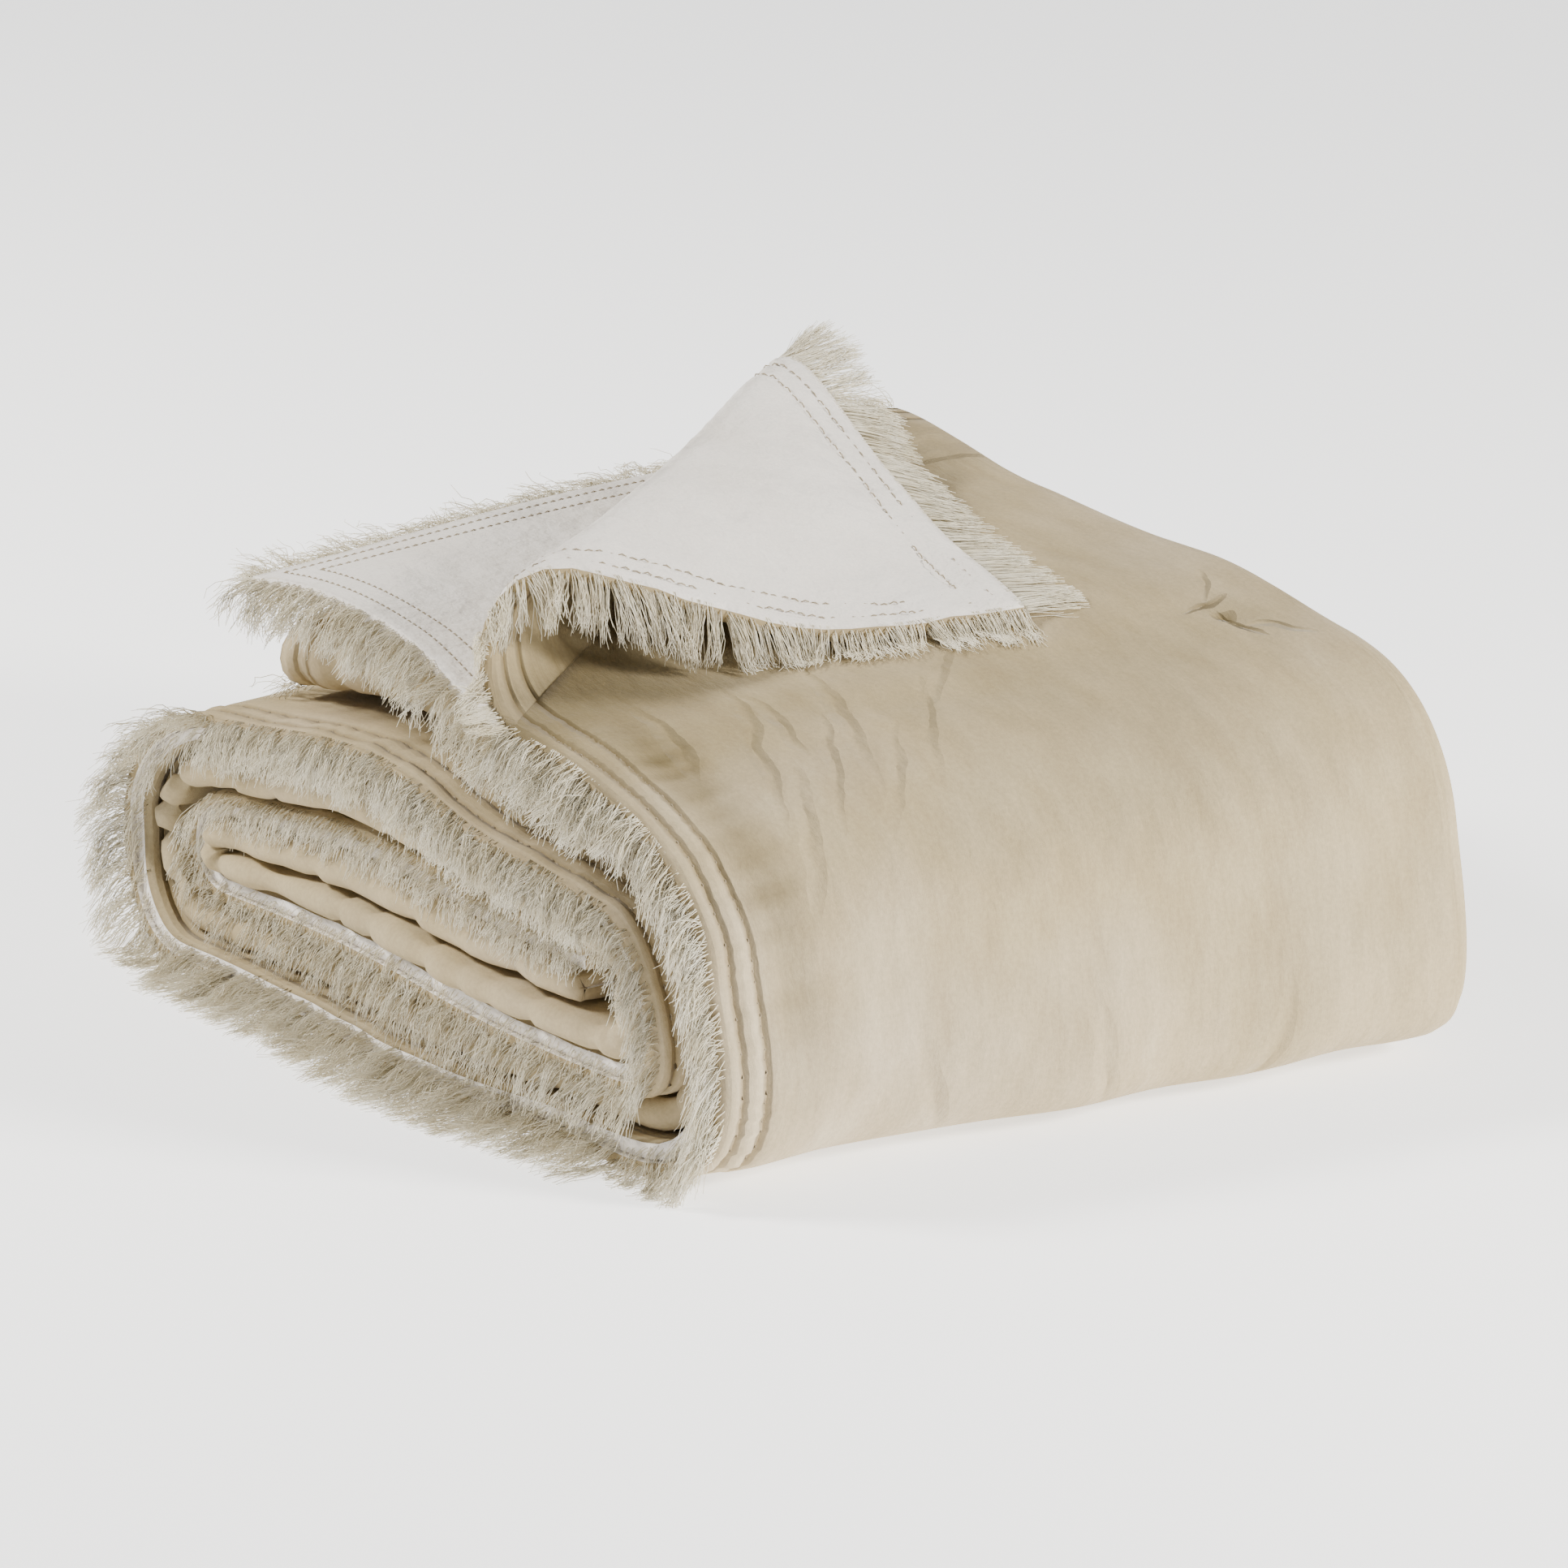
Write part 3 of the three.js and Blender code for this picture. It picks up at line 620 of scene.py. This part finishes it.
def hanging_threads(t, root_at, out, side, hang, kept=1.0):
    """Threads rooted at root_at(t, depth), where out is the way out of the hem and side the way along it."""
    to_middle, lock, own = locks(t)
    wild = np.where(np.abs(own[:, 4]) > 2.0, 2.6, 1.0)
    length = kept * FRINGE * np.clip(0.90 + 0.07 * lock[:, 0] + 0.09 * own[:, 0], 0.5, 1.12)
    roots = root_at(t, ROOT_SPREAD * np.clip(own[:, 1], -1.3, 1.3))
    start = hang[0] + 0.12 * lock[:, 1] + 0.10 * own[:, 2]
    end = hang[1] + 0.20 * lock[:, 2] + 0.14 * own[:, 3] * wild
    sway = 0.13 * lock[:, 3] + 0.07 * own[:, 1] * wild + 0.4 * to_middle / FRINGE
    step = (length / (POINTS - 1))[:, None]
    out = unit(out)
    lines = [roots]
    for k in range(1, POINTS):
        e = (k - 0.5) / (POINTS - 1)
        angle = mix(start, end, e ** 0.8) + 0.16 * rng.normal(size=len(t))
        curl = 0.22 * wild * np.sin(7 * e + 3 * lock[:, 4] + 0.8 * own[:, 2])
        wave = sway + curl + 0.22 * rng.normal(size=len(t))
        move = out * np.cos(angle)[:, None] + side * wave[:, None]
        move = move - np.array([[0.0, 0.0, 1.0]]) * np.sin(angle)[:, None]
        following = lines[-1] + move * step
        following[:, 2] = np.maximum(following[:, 2], ABOVE_FLOOR + 0.5 * np.abs(own[:, 1]))
        lines.append(following)
    return np.stack(lines, 1)


def near_hem_threads(layer, start, end, per_mm, hang, kept, fan):
    """Threads of a near hem. Fan is how much they spread away from the middle of the roll."""
    t = np.sort(rng.uniform(start, end, int((end - start) * per_mm)))

    def root_at(at, depth):
        return place(at, layer_offset(layer, at) + depth, near_edge(layer, at) + ROOT_IN)

    spread = fan * (root_at(t, 1.0) - root_at(t, 0.0))
    spread[:, 0] -= 1.1 * (1 - smooth(0, 40, t))
    out = np.array([[0.0, -1.0, 0.0]]) + spread
    along = unit(root_at(t + 1, 0.0) - root_at(t - 1, 0.0))
    return hanging_threads(t, root_at, out, along, hang, kept)


def end_hem_threads(layer, start, end, per_mm, hang):
    """Threads of the roll's free end, lying out to the left."""
    t = np.sort(rng.uniform(start, end, int((end - start) * per_mm)))
    height = level_at(0.0) + float(layer_offset(layer, 0.0))

    def root_at(at, depth):
        return sag(np.full(len(at), FREE_END + ROOT_IN), at, height + depth)

    out, along = np.tile([-1.0, 0.0, 0.0], (len(t), 1)), np.tile([0.0, 1.0, 0.0], (len(t), 1))
    return hanging_threads(t, root_at, out, along, hang)


def corner_hem_threads(first, last, side_sign, droop):
    """Threads of the turned corner between two places along its fold line, lying out from its hem."""
    spots = np.linspace(first, last, 300)
    way = np.concatenate([[0], np.cumsum(np.hypot(np.diff(spots), np.diff(corner_reach(spots))))])
    t = np.sort(rng.uniform(0, way[-1], int(way[-1] * CORNER_PER_MM)))
    a0 = np.interp(t, way, spots)
    b0 = corner_reach(a0)
    slope = np.clip((corner_reach(a0 + side_sign) - b0) / side_sign, -4, 4)
    norm = np.hypot(1, slope)
    ua, ub = 1 / norm, slope / norm
    to_middle, lock, own = locks(t)
    wild = np.where(np.abs(own[:, 4]) > 2.0, 2.4, 1.0)
    if side_sign < 0:
        kept = 0.74
    else:
        # the last threads before the free end are longer and droop less
        kept = 0.88 + 0.12 * smooth(FOLD_LENGTH - 110, FOLD_LENGTH - 40, a0)
        droop = droop - 12 * smooth(FOLD_LENGTH - 110, FOLD_LENGTH - 30, a0)
    reach = kept * FRINGE * np.clip(1.0 + 0.07 * lock[:, 0] + 0.09 * own[:, 0], 0.5, 1.15)
    depth = ROOT_SPREAD * np.clip(own[:, 1], -1.3, 1.3)
    sway = 0.13 * lock[:, 3] + 0.08 * own[:, 1] * wild + 0.35 * to_middle / FRINGE
    lines = []
    for e in np.linspace(0, 1, POINTS):
        fall = droop * e ** 1.5 * np.clip(1 + 0.2 * lock[:, 1] + 0.2 * own[:, 3] * wild, 0.3, 1.5)
        level_out = np.maximum((reach * e) ** 2 - (0.85 * fall) ** 2, (0.35 * reach * e) ** 2)
        out = np.sqrt(level_out) - ROOT_IN * (1 - e)
        shift = sway * reach * e + e * wild * np.sin(7 * e + 3 * lock[:, 4] + own[:, 2])
        shift = shift + 0.8 * rng.normal(size=len(t)) * e
        a = a0 + ua * shift - ub * out
        b = b0 + ub * shift + ua * out
        lines.append(corner_point(a, b, depth * (1 - 0.5 * e), fall))
    return np.stack(lines, 1)


def all_threads():
    """Rows of threads by piece, each with the solids that it stands for."""
    rows = {}
    for piece, legs, layer, per_mm, hang, kept, fan in NEAR_ROWS:
        for name in legs:
            start, end = START[name], START[name] + LENGTH[name]
            if name == "flap" and layer == 0:
                start = FOLD_AT - 6
            solid = f"fringe_{name}_{'outer' if layer == 0 else 'inner'}"
            threads = near_hem_threads(layer, start, end, per_mm, hang, kept, fan)
            rows.setdefault(piece, []).append((solid, threads))
    last = float(far_edge(0.0)) - END_ROWS_STOP
    rows["threads_free_end"] = []
    for layer, (shift, per_mm, hang) in enumerate(END_ROWS):
        first = float(near_edge(layer, 0.0)) + shift
        threads = end_hem_threads(layer, first, last, per_mm, hang)
        rows["threads_free_end"].append((f"fringe_end_{layer + 1}", threads))
    near_side = corner_hem_threads(1, TIP_ALONG, -1, 22.0)
    end_side = corner_hem_threads(TIP_ALONG, FOLD_LENGTH - 2, 1, 4.0)
    rows["threads_corner"] = [("fringe_corner_near", near_side), ("fringe_corner_end", end_side)]
    return rows


# The stitches beside the hems: each is a line of three points, with its middle raised
STITCH_PITCH, STITCH_LENGTH = 5.4, 3.9
STITCH_RISE = ((0.0, -0.25), (0.5, 0.55), (1.0, -0.25))


def outer_stitch(s, lift, w, relief):
    puff = hem_relief(s, w) + (velvet_relief(s, w) if relief else 0.0)
    return place(s, layer_offset(0, s) + HALF + puff + lift, near_edge(0, s) + w)


def second_stitch(s, lift, w):
    return place(s, layer_offset(1, s) + HALF + lift, near_edge(1, s) + w)


def end_stitch(y, lift, w, layer):
    height = level_at(w) + layer_offset(layer, w) + HALF + lift
    return sag(np.full(len(y), FREE_END + w), y, height)


def corner_near_stitch(t, lift, w):
    tilt = math.atan2(TIP_ACROSS, TIP_ALONG)
    a = t * math.cos(tilt) + w * math.sin(tilt)
    b = t * math.sin(tilt) - w * math.cos(tilt)
    return corner_point(a, b, HALF + 0.8 * hem_relief(t, w) + 1.0 + lift)


def corner_end_stitch(a, lift, w):
    slope = corner_reach(a + 1) - corner_reach(a)
    norm = np.hypot(1, slope)
    height = HALF + 0.8 * hem_relief(a, w) + 1.2 + lift
    return corner_point(a + w * slope / norm, corner_reach(a) - w / norm, height)


def stitch_row(start, end, point, *where):
    at = np.arange(start, end - STITCH_PITCH, STITCH_PITCH)
    return np.stack([point(at + STITCH_LENGTH * share, lift, *where) for share, lift in STITCH_RISE], 1)


def stitches():
    """Short stitches along both rows of the hems that show."""
    last = float(far_edge(0.0)) - 34
    rows = []
    for w in STITCH_ROWS:
        rows.append(stitch_row(FOLD_AT + 4, START["bottom"] + 60, outer_stitch, w, True))
        rows.append(stitch_row(START["left_outer"] + 40, START["lower"], outer_stitch, w, False))
        rows.append(stitch_row(w, FOLD_AT + 30, second_stitch, w))
        rows.append(stitch_row(float(near_edge(1, 0.0)) + w, last, end_stitch, w, 1))
        rows.append(stitch_row(float(near_edge(0, 0.0)) + 20, last, end_stitch, w, 0))
        rows.append(stitch_row(6, CORNER_HEM - w, corner_near_stitch, w))
        rows.append(stitch_row(TIP_ALONG + w, FOLD_LENGTH - 16, corner_end_stitch, w))
    return np.concatenate(rows)


# Materials
WHITE = (1.0, 1.0, 1.0)


def shader(name, base, roughness):
    material = bpy.data.materials.new(name)
    material.use_nodes = True
    tree = material.node_tree
    bsdf = tree.nodes["Principled BSDF"]
    bsdf.inputs["Base Color"].default_value = (*base, 1)
    bsdf.inputs["Roughness"].default_value = roughness
    bsdf.inputs["Specular IOR Level"].default_value = 0.15
    return material, tree, bsdf


def node(tree, kind, **inputs):
    item = tree.nodes.new(kind)
    for key, value in inputs.items():
        item.inputs[key.replace("_", " ")].default_value = value
    return item


def coordinates(tree, scale=(1.0, 1.0, 1.0)):
    """The place on the object, in metres."""
    place_node = node(tree, "ShaderNodeTexCoord")
    mapping = node(tree, "ShaderNodeMapping", Scale=scale)
    tree.links.new(place_node.outputs["Object"], mapping.inputs["Vector"])
    return mapping.outputs["Vector"]


def flat_coordinates(tree, scale=(1.0, 1.0, 1.0)):
    """The place in the flat cloth: the way along the hem and the distance from it, in metres."""
    flat = node(tree, "ShaderNodeUVMap")
    flat.uv_map = "hem"
    mapping = node(tree, "ShaderNodeMapping", Scale=scale)
    tree.links.new(flat.outputs["UV"], mapping.inputs["Vector"])
    return mapping.outputs["Vector"]


def noise_of(tree, coords, scale, detail=3.0):
    noise = node(tree, "ShaderNodeTexNoise", Scale=scale, Detail=detail, Roughness=0.55)
    tree.links.new(coords, noise.inputs["Vector"])
    return noise.outputs["Fac"]


def ramp_of(tree, factor, stops):
    ramp = node(tree, "ShaderNodeValToRGB")
    elements = ramp.color_ramp.elements
    elements[0].position = stops[0][0]
    elements[1].position = stops[-1][0]
    for at, _ in stops[1:-1]:
        elements.new(at)
    for element, (_, color) in zip(elements, stops):
        element.color = (*color, 1)
    tree.links.new(factor, ramp.inputs["Fac"])
    return ramp.outputs["Color"]


def multiply(tree, first, second, amount=1.0):
    item = tree.nodes.new("ShaderNodeMix")
    item.data_type, item.blend_type = "RGBA", "MULTIPLY"
    item.inputs["Factor"].default_value = amount
    tree.links.new(first, item.inputs["A"])
    tree.links.new(second, item.inputs["B"])
    return item.outputs["Result"]


def bump(tree, height, depth, strength, under=None):
    item = node(tree, "ShaderNodeBump", Strength=strength, Distance=depth)
    tree.links.new(height, item.inputs["Height"])
    if under is not None:
        tree.links.new(under, item.inputs["Normal"])
    return item.outputs["Normal"]


# Sharp creases of the outer velvet: middle along the roll, middle in from the hem, turn in degrees, half
# length, half width and depth, which also darkens the colour as painted shade. First those of the tuft, then
# those under the corner, then the lower edge's
CREASES = [
    (350.0, 406.0, 8.0, 22.0, 3.4, 1.0),
    (324.0, 401.0, 96.0, 17.0, 3.4, 0.9),
    (337.0, 404.0, 50.0, 7.0, 6.0, 1.0),
    (366.0, 420.0, 34.0, 20.0, 3.6, 0.5),
    (305.0, 412.0, -30.0, 18.0, 4.0, 0.4),
    (362.0, 95.0, -18.0, 84.0, 6.0, 0.45),
    (350.0, 152.0, -14.0, 80.0, 6.0, 0.4),
    (392.0, 122.0, -24.0, 60.0, 5.0, 0.35),
    (330.0, 60.0, -8.0, 50.0, 6.0, 0.5),
    (430.0, 86.0, -20.0, 60.0, 6.0, 0.3),
    (318.0, 235.0, -40.0, 60.0, 6.0, 0.3),
    (376.0, 190.0, -26.0, 60.0, 5.0, 0.3),
    (340.0, 118.0, -4.0, 44.0, 5.0, 0.35),
    (410.0, 150.0, -30.0, 50.0, 5.0, 0.25),
    (594.0, 230.0, 12.0, 60.0, 8.0, 0.25),
    (600.0, 330.0, -10.0, 54.0, 8.0, 0.25),
    (590.0, 130.0, 20.0, 50.0, 8.0, 0.25),
]
CREASE_WARP = 0.012

# Height of the sewn hem by the distance from its edge in millimetres: two grooves with padding between them.
# The low places are also darker, as painted shade
HEM_PROFILE = [
    (0, 0.3), (5, 0.9), (9, 0.8), (12, 0.0), (15, 0.85), (19, 1.0),
    (23, 0.85), (26, 0.0), (29, 0.8), (36, 0.95), (60, 0.95),
]


def creases(tree):
    """The sum of the creases, each a long soft spot in the flat cloth, bent a little by noise."""
    warp = node(tree, "ShaderNodeTexNoise", Scale=34.0, Detail=2.0)
    bent = node(tree, "ShaderNodeVectorMath")
    bent.operation = "MULTIPLY_ADD"
    bent.inputs[1].default_value = (CREASE_WARP, CREASE_WARP, 0.0)
    tree.links.new(coordinates(tree), warp.inputs["Vector"])
    tree.links.new(warp.outputs["Color"], bent.inputs[0])
    tree.links.new(flat_coordinates(tree), bent.inputs[2])
    shift = CREASE_WARP / 2
    total = None
    for s, w, angle, long, wide, depth in CREASES:
        mapping = node(tree, "ShaderNodeMapping")
        mapping.vector_type = "TEXTURE"
        mapping.inputs["Location"].default_value = (s * MM + shift, w * MM + shift, 0)
        mapping.inputs["Rotation"].default_value = (0, 0, math.radians(angle))
        mapping.inputs["Scale"].default_value = (long * MM, wide * MM, 1)
        tree.links.new(bent.outputs["Vector"], mapping.inputs["Vector"])
        spot = node(tree, "ShaderNodeTexGradient")
        spot.gradient_type = "SPHERICAL"
        tree.links.new(mapping.outputs["Vector"], spot.inputs["Vector"])
        add = node(tree, "ShaderNodeMath")
        add.operation = "MULTIPLY_ADD"
        add.inputs[1].default_value = depth
        add.inputs[2].default_value = 0.0
        tree.links.new(spot.outputs["Fac"], add.inputs[0])
        if total is not None:
            tree.links.new(total, add.inputs[2])
        total = add.outputs["Value"]
    return total


def hem_grooves(tree):
    """The hem's profile as a height, read by the distance from the edge in the flat cloth."""
    width = HEM_PROFILE[-1][0]
    split = node(tree, "ShaderNodeSeparateXYZ")
    tree.links.new(flat_coordinates(tree, (1.0, 1000 / width, 1.0)), split.inputs["Vector"])
    return ramp_of(tree, split.outputs["Y"], [(w / width, (height,) * 3) for w, height in HEM_PROFILE])


def velvet_material():
    material, tree, bsdf = shader("velvet", (0.55, 0.46, 0.33), 0.85)
    bsdf.inputs["Sheen Weight"].default_value = 0.12
    bsdf.inputs["Sheen Roughness"].default_value = 0.4
    bsdf.inputs["Sheen Tint"].default_value = (1.0, 0.93, 0.84, 1)
    patches = noise_of(tree, coordinates(tree, (1.0, 1.0, 0.8)), 5.0, 4.0)
    streaks = noise_of(tree, flat_coordinates(tree, (22.0, 75.0, 1.0)), 1.0, 6.0)
    brushed = noise_of(tree, flat_coordinates(tree, (13.0, 26.0, 1.0)), 1.0, 5.0)
    fuzz = noise_of(tree, coordinates(tree), 420.0, 4.0)
    pile = noise_of(tree, coordinates(tree), 1100.0)
    crease = creases(tree)
    groove = hem_grooves(tree)
    # painted shade from the colour attribute named pile
    painted_shade_node = node(tree, "ShaderNodeVertexColor")
    painted_shade_node.layer_name = "pile"

    dark, middle, light = (0.47, 0.39, 0.245), (0.54, 0.44, 0.265), (0.60, 0.505, 0.35)
    color = ramp_of(tree, patches, [(0.3, dark), (0.5, middle), (0.7, light)])
    color = multiply(tree, color, ramp_of(tree, streaks, [(0.3, (0.90, 0.89, 0.87)), (0.7, WHITE)]))
    color = multiply(tree, color, ramp_of(tree, fuzz, [(0.3, (0.82, 0.82, 0.82)), (0.7, WHITE)]), 0.8)
    color = multiply(tree, color, painted_shade_node.outputs["Color"])
    color = multiply(tree, color, ramp_of(tree, brushed, [(0.34, (0.86, 0.84, 0.79)), (0.62, WHITE)]))
    # painted shade: darker in the creases
    color = multiply(tree, color, ramp_of(tree, crease, [(0.1, WHITE), (0.9, (0.80, 0.76, 0.66))]))
    # painted shade: darker in the hem's grooves and at its edge
    color = multiply(tree, color, ramp_of(tree, groove, [(0.0, (0.72, 0.68, 0.6)), (0.8, WHITE)]))
    tree.links.new(color, bsdf.inputs["Base Color"])

    soft = bump(tree, streaks, 0.002, 0.6)
    soft = bump(tree, brushed, 0.006, 0.5, soft)
    soft = bump(tree, groove, 0.003, 1.0, soft)
    creased = bump(tree, crease, 0.009, 1.0, soft)
    creased.node.invert = True
    tree.links.new(bump(tree, pile, 0.0006, 0.35, creased), bsdf.inputs["Normal"])
    return material


def lining_material():
    material, tree, bsdf = shader("lining", (0.72, 0.68, 0.62), 0.9)
    bsdf.inputs["Sheen Weight"].default_value = 0.15
    cloud = noise_of(tree, coordinates(tree), 14.0, 6.0)
    base = ramp_of(tree, cloud, [(0.3, (0.86, 0.80, 0.72)), (0.7, (0.95, 0.90, 0.83))])
    weave = noise_of(tree, coordinates(tree), 600.0, 3.0)
    fine = ramp_of(tree, weave, [(0.3, (0.9, 0.9, 0.9)), (0.7, WHITE)])
    tree.links.new(multiply(tree, base, fine), bsdf.inputs["Base Color"])
    crumple = bump(tree, noise_of(tree, coordinates(tree), 13.0, 6.0), 0.03, 0.6)
    tree.links.new(bump(tree, weave, 0.0006, 0.4, crumple), bsdf.inputs["Normal"])
    return material


def thread_material():
    material, tree, bsdf = shader("thread", (0.80, 0.75, 0.64), 0.8)
    cloud = noise_of(tree, coordinates(tree), 60.0)
    base = ramp_of(tree, cloud, [(0.3, (0.71, 0.64, 0.47)), (0.7, (0.84, 0.79, 0.65))])
    tree.links.new(base, bsdf.inputs["Base Color"])
    return material


# The camera: at the photograph's angle, with one near corner of the bundle at its place in the picture
PICTURE = 1932.0
AZIMUTH, ELEVATION = math.radians(55.4), math.radians(17.8)
FOCAL_PIXELS = 10662.0
NEAR_CORNER = Vector((240.0 + MIDDLE[0], -HALF_LENGTH + MIDDLE[1], 0.0))
NEAR_CORNER_PIXEL = (876.0, 1472.0)
NEAR_CORNER_DEPTH = 4390.0


def make_camera():
    level_back = Vector((math.sin(AZIMUTH), -math.cos(AZIMUTH), 0.0))
    back = level_back * math.cos(ELEVATION) + Vector((0.0, 0.0, math.sin(ELEVATION)))
    right = Vector((math.cos(AZIMUTH), math.sin(AZIMUTH), 0.0))
    up = back.cross(right)
    sideways = (NEAR_CORNER_PIXEL[0] - PICTURE / 2) / FOCAL_PIXELS * NEAR_CORNER_DEPTH
    upwards = (PICTURE / 2 - NEAR_CORNER_PIXEL[1]) / FOCAL_PIXELS * NEAR_CORNER_DEPTH
    eye = NEAR_CORNER - right * sideways - up * upwards + back * NEAR_CORNER_DEPTH
    camera = bpy.data.cameras.new("camera")
    camera.sensor_width = 36.0
    camera.lens = FOCAL_PIXELS / PICTURE * camera.sensor_width
    camera.clip_end = 50.0
    obj = bpy.data.objects.new("camera", camera)
    obj.matrix_world = Matrix.Translation(eye * MM) @ Matrix((right, up, back)).transposed().to_4x4()
    bpy.context.collection.objects.link(obj)
    bpy.context.scene.camera = obj


# The studio: two soft lamps aimed at the bundle, a pale floor and even light, in metres and watts
LAMPS = [("key", (2.3, 1.5, 1.25), 170), ("fill", (-1.6, -1.6, 2.0), 125)]
LAMP_SIZE = 0.6
LAMP_COLOR = (1.0, 0.975, 0.93)
LAMP_AIM = Vector((0.0, 0.0, 0.1))
FLOOR_SIZE = 16
FLOOR_GLOW = 1.3
WORLD_LIGHT = 0.27


def area_light(name, location, power):
    light = bpy.data.lights.new(name, "AREA")
    light.shape = "SQUARE"
    light.size = LAMP_SIZE
    light.energy = power
    light.color = LAMP_COLOR
    obj = bpy.data.objects.new(name, light)
    obj.location = location
    obj.rotation_euler = (LAMP_AIM - Vector(location)).to_track_quat("-Z", "Y").to_euler()
    bpy.context.collection.objects.link(obj)


def make_studio():
    bpy.ops.mesh.primitive_plane_add(size=FLOOR_SIZE, location=(0, 0, 0))
    floor = bpy.context.object
    floor.name = "floor"
    material, _, bsdf = shader("floor_paper", (0.9, 0.9, 0.9), 0.9)
    bsdf.inputs["Emission Color"].default_value = (*WHITE, 1)
    bsdf.inputs["Emission Strength"].default_value = FLOOR_GLOW
    floor.data.materials.append(material)
    world = bpy.data.worlds.new("studio")
    world.use_nodes = True
    background = world.node_tree.nodes["Background"]
    background.inputs["Color"].default_value = (*WHITE, 1)
    background.inputs["Strength"].default_value = WORLD_LIGHT
    bpy.context.scene.world = world
    for name, location, power in LAMPS:
        area_light(name, location, power)


# The pieces of the bedspread, thread radii in millimetres
THREAD_RADIUS = (0.21, 0.34)
STITCH_RADIUS = 0.42

make_camera()
velvet, lining, thread = velvet_material(), lining_material(), thread_material()
cloth = make_cloth(velvet, lining)
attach(cloth, "root")
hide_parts("quilt")

for piece_name, parts in all_threads().items():
    lines = np.concatenate([threads for _, threads in parts])
    radius = rng.uniform(*THREAD_RADIUS, len(lines))
    piece = thread_tubes(piece_name, lines, radius, thread)
    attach(piece, "root")
    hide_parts(*[name for name, _ in parts])
stitch_lines = stitches()
# the stitches are real, but their dark brown colour is painted shade of the stitch holes
sewing_thread_painted_shade = shader("sewing_thread_painted_shade", (0.34, 0.28, 0.19), 0.8)[0]
stitch_radii = np.full(len(stitch_lines), STITCH_RADIUS)
sewing = thread_tubes("stitches", stitch_lines, stitch_radii, sewing_thread_painted_shade, 1.0)
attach(sewing, "root")

make_studio()
